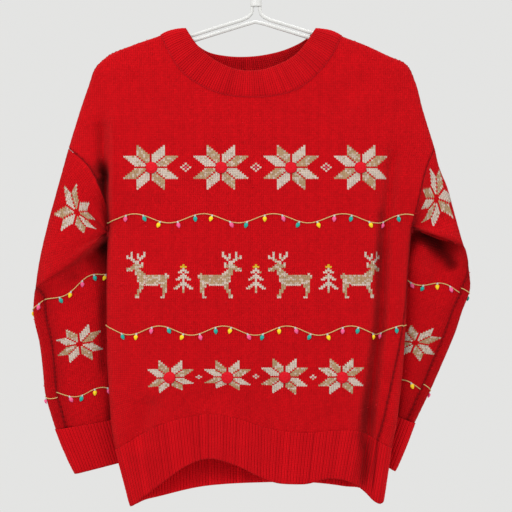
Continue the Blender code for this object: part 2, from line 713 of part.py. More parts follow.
def build_cuff(hand, last, home):
    """A ribbed tube below the sleeve."""
    ring_outer, ring_inner = last
    length = np.linalg.norm(np.roll(ring_outer, -1, 0) - ring_outer, axis=1).sum()
    count = 2 * RIB_INSIDE_STEP * round(length / RIB_PITCH / RIB_INSIDE_STEP)
    shares, top_outer = resample(ring_outer, count, closed=True)
    top_inner = read_chain(ring_outer, ring_inner, shares, closed=True)
    *ends, half = CUFFS[hand]
    edge_ring = flat_ring((*ends, half, half, 0), ARMHOLE_CELLS)
    if hand == "right":
        edge_ring = edge_ring[::-1]
    low = read_chain(ring_outer, edge_ring, shares, closed=True)
    down = unit(low - top_outer)
    top_outer = top_outer + down * SEAM_GAP
    top_inner = top_inner + down * SEAM_GAP
    grid = np.stack([low, (low + top_outer) / 2, top_outer])
    normals = soften(ring_normals(grid), 1)
    normals[-1] = unit(top_outer - top_inner)
    grid[1] += normals[1] * CUFF_BULGE
    inner = grid - normals * WALL
    inner[-1] = top_inner
    inside = inner[:, :: 2 * RIB_INSIDE_STEP]
    wall("cuff_" + hand, raise_ribs(grid, normals), inside, home, "rib_red", closed=True)


# ------------------------------------------------------------------------------ berries and hanger
def build_berries(home):
    """Thick felted rounds laid on the front panel's own points."""
    mesh = bpy.data.objects["front_panel"].data
    mesh.calc_loop_triangles()
    corners = [vertex.co.copy() for vertex in mesh.vertices]
    tree = BVHTree.FromPolygons(corners, [tuple(tri.vertices) for tri in mesh.loop_triangles])

    def face(x, z):
        hit, _, _, _ = tree.ray_cast(Vector((x * MM, -0.1, z * MM)), Vector((0, 1, 0)))
        return hit.y / MM

    def seat(x0, z0):
        """The plane that rests on the cloth under a stiff round: y at its centre, and its slopes."""
        spots = [(x0, z0)]
        for reach in (0.5, 1.0):
            for k in range(8):
                turn = math.pi * k / 4
                out = BERRY_RADIUS * reach
                spots.append((x0 + out * math.cos(turn), z0 + out * math.sin(turn)))
        terms = np.array([(1.0, x - x0, z - z0) for x, z in spots])
        found = np.array([face(x, z) for x, z in spots])
        plane = np.linalg.lstsq(terms, found, rcond=None)[0]
        plane[0] += (found - terms @ plane).min() - BERRY_GAP
        return plane

    profile, sides = BERRY_PROFILE, BERRY_SIDES
    number = 0
    for z0, places in BERRY_ROWS:
        for x0 in places:
            number += 1
            level, slope_x, slope_z = seat(x0, z0)
            points = []
            for reach, height in profile:
                for k in range(sides):
                    turn = 2 * math.pi * k / sides
                    x, z = BERRY_RADIUS * reach * math.cos(turn), BERRY_RADIUS * reach * math.sin(turn)
                    y = level + slope_x * x + slope_z * z - BERRY_THICKNESS * height
                    points.append((x0 + x, y, z0 + z))
            points += [(x0, level, z0), (x0, level - BERRY_THICKNESS, z0)]
            bottom, top = len(points) - 2, len(points) - 1
            faces = []
            for k in range(sides):
                after = (k + 1) % sides
                faces.append((bottom, after, k))
                for ring in range(len(profile) - 1):
                    low, high = ring * sides, (ring + 1) * sides
                    faces.append((low + k, low + after, high + after, high + k))
                last = (len(profile) - 1) * sides
                faces.append((top, last + k, last + after))
            mesh = bpy.data.meshes.new(f"berry_{number}")
            mesh.from_pydata((np.array(points) * MM).tolist(), [], faces)
            mesh.shade_smooth()
            mesh.set_sharp_from_angle(angle=math.radians(40))
            place(bpy.data.objects.new(f"berry_{number}", mesh), home, "berry_red")


def wire_object(name, points, home):
    """A round wire along the points: a straight-sided curve of eight sides with closed ends."""
    curve = bpy.data.curves.new(name, "CURVE")
    curve.dimensions = "3D"
    curve.bevel_depth = WIRE / 2 * MM
    curve.bevel_resolution = 2
    curve.use_fill_caps = True
    spline = curve.splines.new("POLY")
    spline.points.add(len(points) - 1)
    for point, place_at in zip(spline.points, points):
        point.co = (*(np.asarray(place_at, float) * MM), 1)
    return place(bpy.data.objects.new(name, curve), home, "wire_white")


def arm_points(hand):
    """One arm of the hanger: out along the upper strand, round the tip, back along the lower strand."""
    mirror = 1.0 if hand == "left" else -1.0
    ridge = EDGE_PARTS[hand][2](np.linspace(0, 1, 200))
    inset = WALL + SEAT_GAP + WIRE / 2
    run = unit(np.gradient(ridge, axis=0))
    down = np.stack([run[:, 1], -run[:, 0]], -1)
    down = down * np.where(down[:, 1] > 0, -1.0, 1.0)[:, None]
    seat = ridge + down * inset
    bend = len(ridge) - 1 - int(np.argmax(np.abs(ridge[::-1, 0]) > TIP_X[hand]))
    start = int(np.argmin(np.abs(np.abs(ridge[:, 0]) - SEAT_FROM_X)))
    chosen = seat[np.linspace(start, bend, SEATED_POINTS).astype(int)]
    upper = [(x, 0.0, z) for x, z in chosen]
    tip = np.array(upper[-1])
    inward = np.array([mirror, 0.0, 0.0])
    turn_centre = tip + np.array([mirror * TIP_INSET, 0.0, -STRAND_STEP / 2])
    tip_arc = []
    for angle in np.linspace(*TIP_ANGLES, TIP_POINTS):
        out = math.cos(math.radians(angle)) * STRAND_STEP / 2
        up = math.sin(math.radians(angle)) * STRAND_STEP / 2
        tip_arc.append(tuple(turn_centre - inward * out + np.array([0.0, 0.0, up])))
    lower = [(x, -0.5, z - LOWER_STEP) for x, _, z in upper[-3::-1]]
    own = [(mirror * x, y, z) for x, y, z in UPPER_STRAND]
    back = [(mirror * x, y, z) for x, y, z in LOWER_STRAND]
    neck = [(mirror * x, y, z) for x, y, z in NECK_STRAND]
    return neck + own + upper + tip_arc + lower + back


def build_hanger(home):
    left, right = arm_points("left"), arm_points("right")
    wire_object("hanger_wire", [*left, LOWER_APEX, *right[::-1]], home)

    centre = -HOOK_INNER_RADIUS
    radius = HOOK_INNER_RADIUS + WIRE / 2
    route = [(0, 0, FERRULE_TOP + SEAM_GAP)] + [(x, 0, z) for x, z in HOOK_NECK]
    for angle in HOOK_ANGLES:
        turn = math.radians(angle)
        route.append((radius * math.cos(turn), 0, centre + radius * math.sin(turn)))
    wire_object("hanger_hook", route, home)

    bpy.ops.mesh.primitive_cylinder_add(vertices=FERRULE_SIDES, radius=0.5, depth=1)
    ferrule = bpy.context.object
    ferrule.name = "hanger_ferrule"
    for owner in list(ferrule.users_collection):
        owner.objects.unlink(ferrule)
    size = (FERRULE_WIDTH * MM, FERRULE_DEPTH * MM, (FERRULE_TOP - FERRULE_BOTTOM) * MM)
    for vertex in ferrule.data.vertices:
        vertex.co = Vector(a * b for a, b in zip(vertex.co, size))
    ferrule.location = (0, 0, (FERRULE_TOP + FERRULE_BOTTOM) / 2 * MM)
    rounding = ferrule.modifiers.new("rounded rims", "BEVEL")
    rounding.width = FERRULE_ROUNDING * MM
    rounding.segments = 2
    rounding.limit_method = "ANGLE"
    rounding.angle_limit = math.radians(60)
    ferrule.data.shade_smooth()
    place(ferrule, home, "wire_white")


def main():
    for obj in list(bpy.data.objects):
        bpy.data.objects.remove(obj)
    home = collection("christmas_sweater")
    panels = build_panels(home)
    build_hem_ribs(panels, home)
    build_neckband(panels, home)
    for hand, table in (("left", SLEEVE_LEFT), ("right", SLEEVE_RIGHT)):
        last = build_sleeve(hand, table, panels, home)
        build_cuff(hand, last, home)
    build_berries(home)
    build_hanger(home)


main()
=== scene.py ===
"""Looks of a knitted christmas sweater on a wire hanger.

The knit is laid out stitch by stitch on the garment's own surface: every half stitch is a face, the
colour work is counted in wales and courses from charts, and ribs, seams, light strings and fibres are
geometry. Tables are in millimetres, in the frame of the solids, and meshes are in metres.
"""

import math

import bpy
import numpy as np
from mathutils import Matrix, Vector
from mathutils.bvhtree import BVHTree


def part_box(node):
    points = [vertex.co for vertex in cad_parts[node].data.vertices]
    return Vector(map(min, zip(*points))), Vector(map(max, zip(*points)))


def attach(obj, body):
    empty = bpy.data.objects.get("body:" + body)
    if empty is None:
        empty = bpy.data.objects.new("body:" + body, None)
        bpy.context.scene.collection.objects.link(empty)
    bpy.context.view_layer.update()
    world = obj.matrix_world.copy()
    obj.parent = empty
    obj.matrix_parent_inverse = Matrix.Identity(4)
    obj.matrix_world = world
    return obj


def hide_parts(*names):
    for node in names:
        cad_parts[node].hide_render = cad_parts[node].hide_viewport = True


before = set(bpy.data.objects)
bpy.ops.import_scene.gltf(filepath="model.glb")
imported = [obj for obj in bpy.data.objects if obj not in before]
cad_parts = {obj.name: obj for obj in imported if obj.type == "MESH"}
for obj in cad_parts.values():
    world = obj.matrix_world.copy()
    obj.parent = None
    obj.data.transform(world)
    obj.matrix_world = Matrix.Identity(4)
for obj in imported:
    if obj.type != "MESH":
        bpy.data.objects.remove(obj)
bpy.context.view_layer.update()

MM = 0.001
# The first seed of each kind of piece.
SEEDS = {"body": 11, "sleeve": 21, "hem": 31, "cuff": 41, "neckband": 51, "berry": 70, "loose": 90}
BERRY_RADIUS = 7.9
RIB_PITCH = 4.4
NECK_RIB_PITCH = 3.5

# ------------------------------------------------------------------ the garment's outline, x and z
# From the hem's seam up to the underarm.
SIDE = {
    "left": [(-188, -660), (-192, -640), (-196.5, -587), (-199, -540), (-200, -480), (-200, -420),
             (-198, -368)],
    "right": [(181, -658), (186, -638), (193, -587), (197.5, -540), (201, -480), (204, -415),
              (208.5, -363)],
}
# From the underarm up to the top of the armhole, on the ridge of the drop shoulder.
ARMHOLE = {
    "left": [(-198, -368), (-200, -340), (-208, -310), (-224, -281), (-251, -258)],
    "right": [(208.5, -363), (213, -340), (220, -310), (228, -282), (239, -257)],
}
# From the top of the armhole over the hanger's tip to the neck.
RIDGE = {
    "left": [(-251, -258), (-235, -206), (-224, -174), (-215, -150), (-197, -133), (-167, -120),
             (-127, -106)],
    "right": [(239, -257), (223, -205), (213, -168), (202, -146), (176, -133), (146, -119),
              (114, -107)],
}
# The hem, one row for each place across: the seam above the rib, then the rib's lower edge.
HEM_FRONT = [  # seam x, seam z, edge x, edge z
    (-188, -660, -169, -733),
    (-160, -643, -146, -719),
    (-134, -628, -124, -702),
    (-94, -615, -88, -677),
    (-58, -610, -58, -669),
    (-21, -617, -24, -679),
    (8, -627, 6, -694),
    (36, -633, 31, -703),
    (70, -635, 63, -704),
    (106, -632, 97, -696),
    (137, -634, 124, -701),
    (158, -645, 146, -714),
    (181, -658, 170, -732),
]
HEM_BACK = [  # seam x, seam z, edge x, edge z
    (-188, -660, -169, -733),
    (-142, -654, -136, -727),
    (-79, -646, -76, -713),
    (0, -640, 0, -706),
    (80, -640, 76, -706),
    (140, -648, 134, -716),
    (181, -658, 170, -732),
]
# The neckline where the panels meet the band, and the band's upper edge.
NECKLINE_FRONT = [(-127, -106), (-118, -126), (-96, -159), (-72, -176), (-40, -188), (-7, -191), (25, -189),
                  (51, -182), (80, -161), (102, -133), (114, -107)]
NECKLINE_BACK = [(-127, -106), (-112, -128), (-90, -146), (-50, -162), (-7, -168), (36, -164), (76, -149),
                 (100, -128), (114, -107)]
NECK_EDGE_FRONT = [(-94, -97), (-79, -120), (-62, -136), (-40, -149), (-18, -155), (3, -155), (25, -149),
                   (51, -135), (69, -114), (80, -97)]
NECK_EDGE_BACK = [(-94, -97), (-84, -113), (-66, -126), (-40, -132), (-14, -133), (14, -130), (46, -121),
                  (68, -109), (80, -97)]
NECK_EDGE_DEPTH = {"front": 16.0, "back": 13.0}
# How the band's upper edge turns over the hanger's arms.
NECK_EDGE_LENGTH = 220.0
NECK_EDGE_RADIUS = 6.0
NECK_EDGE_TO_FULL = 32.0
BAND_BULGE = 2.6

# How far the cloth stands before and behind the hanging plane, by height, and how far in from the
# folded edge it gets there.
DEPTHS = [  # z, front, back, radius of the folded edge
    (-740, 25, 20, 8.0),
    (-660, 26, 21, 8.0),
    (-450, 27, 22, 8.0),
    (-300, 25, 20, 7.0),
    (-200, 21, 17, 6.2),
    (-100, 17, 13, 5.7),
]
EDGE_TO_FULL = 42.0
FOLD_FADE = 12.0
# A fold keeps its height over this half share of its length, then fades over the next.
FOLD_FULL_SHARE = 0.35
FOLD_END_SHARE = 0.18

# Soft troughs (negative) and ridges (positive) of the hanging panels.
FOLDS = {  # x from, z from, x to, z to, half-width, height
    "front": [
        (-206, -225, -202, -300, 8, -11.0),
        (-202, -285, -199, -378, 5.5, -20.0),
        (-188, -215, -189, -365, 8, 3.5),
        (183, -262, 171, -385, 9, -11.0),
        (171, -385, 166, -490, 9, -14.0),
        (166, -490, 152, -600, 8.5, -16.0),
        (152, -600, 146, -705, 8.5, -17.0),
        (-143, -592, -158, -655, 14, -6.0),
        (-45, -600, -44, -690, 16, 5.0),
        (20, -560, 40, -690, 26, -5.0),
        (150, -160, 100, -215, 16, -3.0),
        (-165, -160, -118, -215, 16, -3.0),
        (-120, -420, -110, -600, 30, 3.0),
        (88, -420, 104, -600, 26, 3.0),
    ],
    "back": [
        (-120, -330, -105, -620, 16, -6.0),
        (60, -380, 92, -640, 18, -6.0),
        (150, -250, 128, -420, 14, -5.0),
        (-20, -440, -8, -690, 24, 4.0),
        (-190, -230, -188, -330, 10, -5.0),
    ],
}

# The side seams lie off the folded edge, turned forward on the right: degrees at the hem.
SEAM_TURN = {"left": 22.0, "right": 27.0}

# Height of a row in the panel, 0 at the hem's seam and 1 at the neck.
V_UNDERARM = 0.45
V_ARMHOLE_TOP = 0.65

# Sleeves: one row for each ring below the armhole. The outer edge lies away from the body.
SLEEVE_EDGE_RADIUS = 6.0
SLEEVE_EDGE_TO_FULL = 20.0
SLEEVE_LEFT = [  # outer x, y, z, inner x, y, z, front, back, sag
    (-258, 0, -284, -199, 1, -368.5, 15, 13, 0),
    (-267.5, 0, -318, -198.5, 3, -369.5, 17, 14, 1),
    (-279, 1, -360, -198.5, 6, -370.5, 19, 14, 2),
    (-289, 2, -402, -199, 9, -371.5, 21, 14, 3),
    (-296, 4, -443, -199.5, 8, -373, 21, 12, 5),
    (-297, 3, -448, -196, 25, -377, (19, 9), 13, 4),
    (-298, 2, -462, -192, 33, -396, (13, 11), 14, 1),
    (-297.5, 3, -486, -186, 34, -444, (11, 12), 14, 0),
    (-290, 4, -521, -181, 33, -500, 13, 13, 0),
    (-286, 4, -555, -177, 34, -545, 12, 13, 0),
    (-282, 4, -590, -174, 34, -583, 12, 12, 0),
    (-274, 4, -618, -172, 34, -606, 11, 11, 0),
    (-269, 4, -634, -171, 34, -620, 9, 9, 0),
]
SLEEVE_RIGHT = [  # outer x, y, z, inner x, y, z, front, back, sag
    (245, 0, -283, 208.5, 1, -363.5, 15, 12, 0),
    (256, 0, -310, 208, 3, -364, 17, 13, 2),
    (265, 1, -342, 208, 6, -364.5, 19, 13, 4),
    (278, 2, -387, 208, 8, -363, 23, 14, 1),
    (281, 4, -392, 205, 18, -366, -8, 15, -9),
    (285.5, 6, -411, 199, 26, -384, (-7, 7), 17, 0),
    (288, 6, -443, 190, 33, -418, (2, 15), 14, 0),
    (277, 9, -477, 178, 40, -462, 13, 13, 0),
    (269, 11, -503, 163, 43, -490, 12, 13, 0),
    (252, 14, -545, 147, 44, -527, 12, 12, 0),
    (235, 18, -585, 135, 45, -562, 11, 11, 0),
    (215, 21, -628, 127, 45, -594, 9, 9, 0),
]
CUFFS = {  # lower edge: outer x, y, z, inner x, y, z, half-depth
    "left": (-243, 5, -694, -159, 33, -676, 7.5),
    "right": (189, 25, -694, 112, 44, -650, 7.5),
}
CUFF_BULGE = 1.0

# ------------------------------------------------------------------------------- curves and depth
def hermite(knots, points, t):
    """Smooth curve through the points, read at t."""
    knots = np.asarray(knots, float)
    points = np.asarray(points, float)
    slopes = np.gradient(points, knots, axis=0)
    t = np.clip(t, knots[0], knots[-1])
    i = np.clip(np.searchsorted(knots, t, side="right") - 1, 0, len(knots) - 2)
    span = (knots[i + 1] - knots[i])[..., None]
    s = (t - knots[i])[..., None] / span
    start = (2 * s**3 - 3 * s**2 + 1) * points[i] + (s**3 - 2 * s**2 + s) * span * slopes[i]
    end = (3 * s**2 - 2 * s**3) * points[i + 1] + (s**3 - s**2) * span * slopes[i + 1]
    return start + end


def arc_of(points):
    """The length along a line up to each of its points."""
    return np.concatenate([[0.0], np.cumsum(np.linalg.norm(np.diff(points, axis=0), axis=1))])


def read_line(points, at, arc=None):
    """The places of a line at some lengths along it."""
    arc = arc_of(points) if arc is None else arc
    return np.stack([np.interp(at, arc, points[:, k]) for k in range(points.shape[1])], -1)


def along(points, arc=None):
    """The curve through points as a function of the share of its length."""
    points = np.asarray(points, float)
    arc = arc_of(points) if arc is None else arc
    return lambda share: hermite(arc / arc[-1], points, np.asarray(share, float))


def hem_curves(table):
    """The hem's seam and lower edge as functions of the same share across."""
    table = np.asarray(table, float)
    arc = arc_of(table[:, :2])
    return along(table[:, :2], arc), along(table[:, 2:], arc)


HEM = {"front": hem_curves(HEM_FRONT), "back": hem_curves(HEM_BACK)}
NECKLINE = {"front": along(NECKLINE_FRONT), "back": along(NECKLINE_BACK)}
EDGE_PARTS = {hand: (along(SIDE[hand]), along(ARMHOLE[hand]), along(RIDGE[hand])) for hand in SIDE}


def edge(hand, v):
    """The panel's left or right boundary at height v."""
    side, armhole, ridge = EDGE_PARTS[hand]
    v = np.asarray(v, float)
    low = side(v / V_UNDERARM)
    middle = armhole((v - V_UNDERARM) / (V_ARMHOLE_TOP - V_UNDERARM))
    high = ridge((v - V_ARMHOLE_TOP) / (1 - V_ARMHOLE_TOP))
    upper = np.where((v < V_ARMHOLE_TOP)[..., None], middle, high)
    return np.where((v < V_UNDERARM)[..., None], low, upper)


def outline_segments():
    """Short straight pieces of the folded edges: side, hem corner, ridge and the upper sleeve's outside."""
    chains = []
    shares = np.linspace(0, 1, 40)
    for hand, table, corner in (("left", SLEEVE_LEFT, HEM_FRONT[0]), ("right", SLEEVE_RIGHT, HEM_FRONT[-1])):
        side, _, ridge = EDGE_PARTS[hand]
        chains.append(np.concatenate([np.array([corner[2:]], float), side(shares)]))
        sleeve = np.array([(row[0], row[2]) for row in table[:4]], float)
        chains.append(np.concatenate([sleeve[::-1], ridge(shares)]))
    return np.concatenate([chain[:-1] for chain in chains]), np.concatenate([chain[1:] for chain in chains])


OUTLINE = outline_segments()


def distance_in(x, z):
    """Distance of each point to the nearest folded edge."""
    starts, ends = OUTLINE
    points = np.stack([x, z], -1)[..., None, :]
    runs = ends - starts
    share = np.clip(((points - starts) * runs).sum(-1) / (runs**2).sum(-1), 0, 1)
    return np.linalg.norm(points - starts - share[..., None] * runs, axis=-1).min(-1)


def round_edge(distance, radius):
    """A quarter round that starts at the folded edge."""
    return radius * np.sqrt(np.clip(1 - (1 - np.minimum(distance / radius, 1)) ** 2, 0, 1))


def fold_sum(folds, x, z):
    """Troughs and ridges along lines, added up."""
    total = np.zeros_like(x)
    for x0, z0, x1, z1, width, height in folds:
        run = np.array([x1 - x0, z1 - z0], float)
        length = np.linalg.norm(run)
        t = ((x - x0) * run[0] + (z - z0) * run[1]) / length**2
        off = ((x - x0) * run[1] - (z - z0) * run[0]) / length
        past = np.maximum(np.abs(t - 0.5) - FOLD_FULL_SHARE, 0)
        end_fade = np.exp(-((past / FOLD_END_SHARE) ** 2))
        total += height * np.exp(-((off / width) ** 2)) * end_fade
    return total


def depth(side, x, z):
    """How far the outer face stands from the hanging plane."""
    table = np.asarray(DEPTHS, float)
    full = np.interp(z, table[:, 0], table[:, 1 if side == "front" else 2])
    radius = np.interp(z, table[:, 0], table[:, 3])
    inside = distance_in(x, z)
    rise = 1 - np.exp(-inside / EDGE_TO_FULL)
    folds = fold_sum(FOLDS[side], x, z) * (1 - np.exp(-inside / FOLD_FADE))
    return round_edge(inside, radius) + (full - radius) * rise + folds


def on_side(side, flat):
    """Places of the hanging plane, x and z, moved out to the face of the front or back."""
    x, z = flat[..., 0], flat[..., 1]
    away = depth(side, x, z)
    return np.stack([x, -away if side == "front" else away, z], -1)


# ------------------------------------------------------------------------------ the body's surface
def panel_face(side, turn, v):
    """A point of the front or back, turn from -90 to 90 degrees across it. Below 0, v runs down the rib."""
    share = (np.sin(np.radians(turn)) + 1) / 2
    seam, lower = HEM[side]
    up = np.clip(v, 0, 1)[..., None]
    down = np.clip(-v, 0, 1)[..., None]
    across = share[..., None]
    bottom, top = seam(share), NECKLINE[side](share)
    flat = (1 - up) * bottom + up * top
    for hand, weight in (("left", 1 - across), ("right", across)):
        line = edge(hand, np.clip(v, 0, 1))
        flat = flat + weight * (line - (1 - up) * edge(hand, 0.0) - up * edge(hand, 1.0))
    return on_side(side, flat + down * (lower(share) - bottom))


def body_point(turn, v):
    """The body's outer face. From -90 to 90 degrees it is the front, and on to 270 the back."""
    turn, v = np.broadcast_arrays(np.asarray(turn, float), np.asarray(v, float))
    turn = np.where(turn < -90, turn + 360, turn)
    front = turn <= 90
    before = panel_face("front", np.where(front, turn, 0), v)
    behind = panel_face("back", np.where(front, 0, 180 - turn), v)
    return np.where(front[..., None], before, behind)


def unit(vectors):
    return vectors / np.maximum(np.linalg.norm(vectors, axis=-1, keepdims=True), 1e-9)


# -------------------------------------------------------------------------------- stitches and yarn
WALE = 2.9
COURSE = 2.35
CHEVRON = 0.5
Q_HEM = -640.0
HEM_FADE = 95.0
WALE_VALLEY = 0.45
WALE_CROWN = 0.15
STITCH_WOBBLE = 0.05
STITCH_DRIFT = 0.04
CUT_EDGE_LIFT = -0.1

# Painted shade of hollows, put into the wool's colour: the spacing of the places that are tried, in rows and
# in columns of the cloth's table, the rays tried at each and how high they start, and how far a fold still
# counts.
HOLLOW_ROWS = 3
HOLLOW_COLUMNS = 6
HOLLOW_RAYS = 24
HOLLOW_START = 1.5
HOLLOW_REACH = 110.0
OVERHEAD = 0.8
# How open a place must be to keep its full colour, and how fast painted shade darkens it below that.
OPEN_FULL = {"body": 0.75, "sleeve": 0.64}
HOLLOW_POWER = {"body": 1.4, "sleeve": 1.7}
DARKEST = 0.10

# A seam is a sunken line whose colour is darkened with painted shade, darkest at every third course, like a
# hole.
SEAM_SINK = 0.3
SEAM_NEAR = 2.0
SEAM_HOLE_PAINTED_SHADE = 0.65
SEAM_PAINTED_SHADE = 0.35
# The dip beside a seam gets painted shade: it is a little darker than the cloth round it.
VALLEY_NEAR = {"body": 4.0, "sleeve": 14.0}
VALLEY_PAINTED_SHADE = {"body": 0.10, "sleeve": 0.24}

# The yarns that the charts name, as linear colours.
YARNS = {
    ".": (0.715, 0.0040, 0.0090),
    "c": (0.80, 0.66, 0.56),
    "t": (0.56, 0.36, 0.20),
    "p": (0.72, 0.12, 0.22),
    "g": (0.03, 0.33, 0.27),
    "y": (0.86, 0.56, 0.03),
}
# The rib's red is the knit's red darkened: painted shade of its grooves.
RIB_RED_PAINTED_SHADE = (0.585, 0.0036, 0.0082)
# The second strand of a marled yarn, and the share of stitches that show it.
MARL = {"t": ("c", 0.34), "c": ("t", 0.10)}


def smooth_step(t):
    t = np.clip(t, 0, 1)
    return t * t * (3 - 2 * t)


EDGES = {hand: edge(hand, np.linspace(0, 1, 900)) for hand in SIDE}
HEM_LINE = {side: HEM[side][0](np.linspace(0, 1, 300)) for side in ("front", "back")}


def edge_x(hand, z):
    """The outline's x at a height."""
    line = EDGES[hand]
    return np.interp(z, np.maximum.accumulate(line[:, 1]), line[:, 0])


def course_height(side, q, x):
    """The height of course q at x: the lower courses follow the hem."""
    line = HEM_LINE[side]
    lift = np.interp(x, line[:, 0], line[:, 1]) - Q_HEM
    return q + lift * (1 - smooth_step((q - Q_HEM) / HEM_FADE))


def bilinear(grid, i, j):
    """A grid read between its columns i and rows j."""
    i = np.clip(i, 0, grid.shape[1] - 1.001)
    j = np.clip(j, 0, grid.shape[0] - 1.001)
    i0, j0 = i.astype(int), j.astype(int)
    s, t = (i - i0)[..., None], (j - j0)[..., None]
    low = grid[j0, i0] * (1 - s) + grid[j0, i0 + 1] * s
    high = grid[j0 + 1, i0] * (1 - s) + grid[j0 + 1, i0 + 1] * s
    return low * (1 - t) + high * t


def thinned(grid):
    """The rows and columns at which hollows are tried."""
    return grid[::HOLLOW_ROWS, ::HOLLOW_COLUMNS]


class Cloth:
    """A surface read at (p, q): p in mm across, q in mm up, from a table of rows."""

    OUTSIDE = 1e6

    def __init__(self, table, p0, dp, q0, dq, low, high, shade=None):
        self.table, self.p0, self.dp, self.q0, self.dq = table, p0, dp, q0, dq
        self.low, self.high = low, high
        # shade holds bands of painted shade, or below 0 painted light, as shares of light lost.
        self.shade = np.zeros(table.shape[:2]) if shade is None else shade
        self.columns = p0 + dp * np.arange(table.shape[1])
        self.rows = q0 + dq * np.arange(len(table))
        self.normals = unit(np.cross(np.gradient(table, axis=1), np.gradient(table, axis=0)))

    def read(self, grid, p, q, row_step=1, column_step=1):
        i = (np.asarray(p, float) - self.p0) / self.dp / column_step
        j = (np.asarray(q, float) - self.q0) / self.dq / row_step
        return bilinear(grid, i, j)

    def at(self, p, q):
        return self.read(self.table, p, q)

    def normal(self, p, q):
        return unit(self.read(self.normals, p, q))

    def edges(self, q):
        """The p of the two seams at q."""
        return np.interp(q, self.rows, self.low), np.interp(q, self.rows, self.high)

    def locate(self, x, z, y_sign=0):
        """The (p, q) nearest to a place of the front or back."""
        off = (self.table[..., 0] - x) ** 2 + (self.table[..., 2] - z) ** 2
        off = off + self.OUTSIDE * ((self.columns < self.low[:, None]) | (self.columns > self.high[:, None]))
        if y_sign:
            off = off + self.OUTSIDE * (self.normals[..., 1] * y_sign < 0)
        j, i = np.unravel_index(int(off.argmin()), off.shape)
        return self.columns[i], self.rows[j]


def face_row(side, q, count=420):
    """One course over the whole front or back, from its left to its right edge."""
    share = (1 - np.cos(np.linspace(0, math.pi, count))) / 2
    ends = []
    for hand in ("left", "right"):
        x = edge_x(hand, q)
        for _ in range(4):
            x = edge_x(hand, course_height(side, q, x))
        ends.append(float(x))
    x = ends[0] + (ends[1] - ends[0]) * share
    return on_side(side, np.stack([x, course_height(side, q, x)], -1))


Z_UNDERARM = {hand: SIDE[hand][-1][1] for hand in SIDE}


def seam_inset(hand, q, width):
    """How far in from the folded edge the side seam lies, along x."""
    rise = smooth_step((Z_UNDERARM[hand] - q) / (Z_UNDERARM[hand] - Q_HEM))
    return width * (1 - math.cos(math.radians(SEAM_TURN[hand]) * rise)) / 2


# Soft bands of painted shade along the right fold of the front: lines with a half-width and the share of
# light that is lost.
FRONT_PAINTED_SHADE = [
    (165, -335, 162, -433, 9, 0.36),
    (162, -433, 159, -486, 11, 0.27),
    (159, -486, 148, -539, 10, 0.24),
    (148, -539, 143, -592, 9, 0.28),
    (143, -592, 136, -655, 9.5, 0.38),
]


# How far a panel's rows reach round the folded edge, and where the rows of the body end.
WRAP = 60.0
BODY_TOP = -104.0


def body_cloth(side, step=1.0):
    """The front or back panel's surface from side seam to side seam."""
    courses = np.arange(Q_HEM - 2 * COURSE, BODY_TOP, COURSE)
    grid_p = np.arange(-300.0, 300.0 + step, step)
    table = np.zeros((len(courses), len(grid_p), 3))
    ends = []
    front = side == "front"
    way = 1.0 if front else -1.0
    for j, q in enumerate(courses):
        own, far = face_row(side, q), face_row("back" if front else "front", q)
        width = own[-1, 0] - own[0, 0]
        left, right = own[0, 0] + seam_inset("left", q, width), own[-1, 0] - seam_inset("right", q, width)
        # Below the arms the row goes on round the edge, since the seam may lie on the other side of it.
        joined = q < min(Z_UNDERARM.values()) - 0.5 * COURSE
        wrap = far[:0]
        if joined and front:
            wrap = far[far[:, 0] < own[0, 0] + WRAP][1:][::-1]
        elif joined:
            wrap = far[far[:, 0] > own[-1, 0] - WRAP][:-1][::-1]
        chain = np.concatenate([wrap, own] if front else [own, wrap])
        arc = arc_of(chain)
        own_part = slice(len(wrap), None) if front else slice(len(own))
        arc -= np.interp(0.0, own[:, 0], arc[own_part])
        low, high = np.interp(left, own[:, 0], arc[own_part]), np.interp(right, own[:, 0], arc[own_part])
        if front:
            steps_in = np.interp(left, far[:, 0], np.arange(len(far)))
            low = np.interp(len(wrap) - steps_in, np.arange(len(arc)), arc) if joined else arc[0]
        else:
            high = np.interp(-right, -wrap[:, 0], arc[len(own):]) if joined else arc[-1]
        table[j] = read_line(chain, way * grid_p, arc)
        ends.append(sorted((way * low, way * high)))
    shade = fold_sum(FRONT_PAINTED_SHADE, table[..., 0], table[..., 2]) if front else None
    return Cloth(table, grid_p[0], step, courses[0], COURSE, *np.array(ends).T, shade)


def neck_line(side, cloth, count=160):
    """The neckline as (p, q), in the order in which p grows."""
    spots = []
    for x, z in NECKLINE[side](np.linspace(0, 1, count)):
        j = np.clip((z - cloth.q0) / cloth.dq, 0, len(cloth.table) - 1.001)
        row = cloth.table[int(j)] * (1 - j % 1) + cloth.table[int(j) + 1] * (j % 1)
        inside = (cloth.columns > cloth.low[int(j)]) & (cloth.columns < cloth.high[int(j)])
        order = np.argsort(row[inside, 0])
        spots.append((np.interp(x, row[inside, 0][order], cloth.columns[inside][order]), z))
    return np.array(spots if side == "front" else spots[::-1])


def closed_border(cloth, rows, top, count):
    """A cut edge as a closed (p, q) line: up the low side, over the top, down the high side and back."""
    low, high = cloth.edges(rows)
    bottom = np.linspace(low[0], high[0], count)[1:-1]
    bottom = np.stack([bottom, np.full_like(bottom, rows[0])], -1)
    return np.concatenate([np.stack([low, rows], -1), top, np.stack([high, rows], -1)[::-1], bottom[::-1]])


def body_border(side, cloth):
    """The panel's cut edge."""
    top = min(NECKLINE[side](np.array([0.0, 1.0]))[:, 1])
    keep = (cloth.rows > Q_HEM) & (cloth.rows < top - 0.5)
    return closed_border(cloth, np.concatenate([[Q_HEM], cloth.rows[keep]]), neck_line(side, cloth), 200)


def inside_border(border, p, q):
    """Whether each point lies inside a closed line."""
    found = np.zeros(p.shape, bool)
    x0, y0 = border[:, 0], border[:, 1]
    x1, y1 = np.roll(x0, -1), np.roll(y0, -1)
    for a, b, c, d in zip(x0, y0, x1, y1):
        if b == d:
            continue
        crosses = (b > q) != (d > q)
        found ^= crosses & (p < (c - a) * (q - b) / (d - b) + a)
    return found


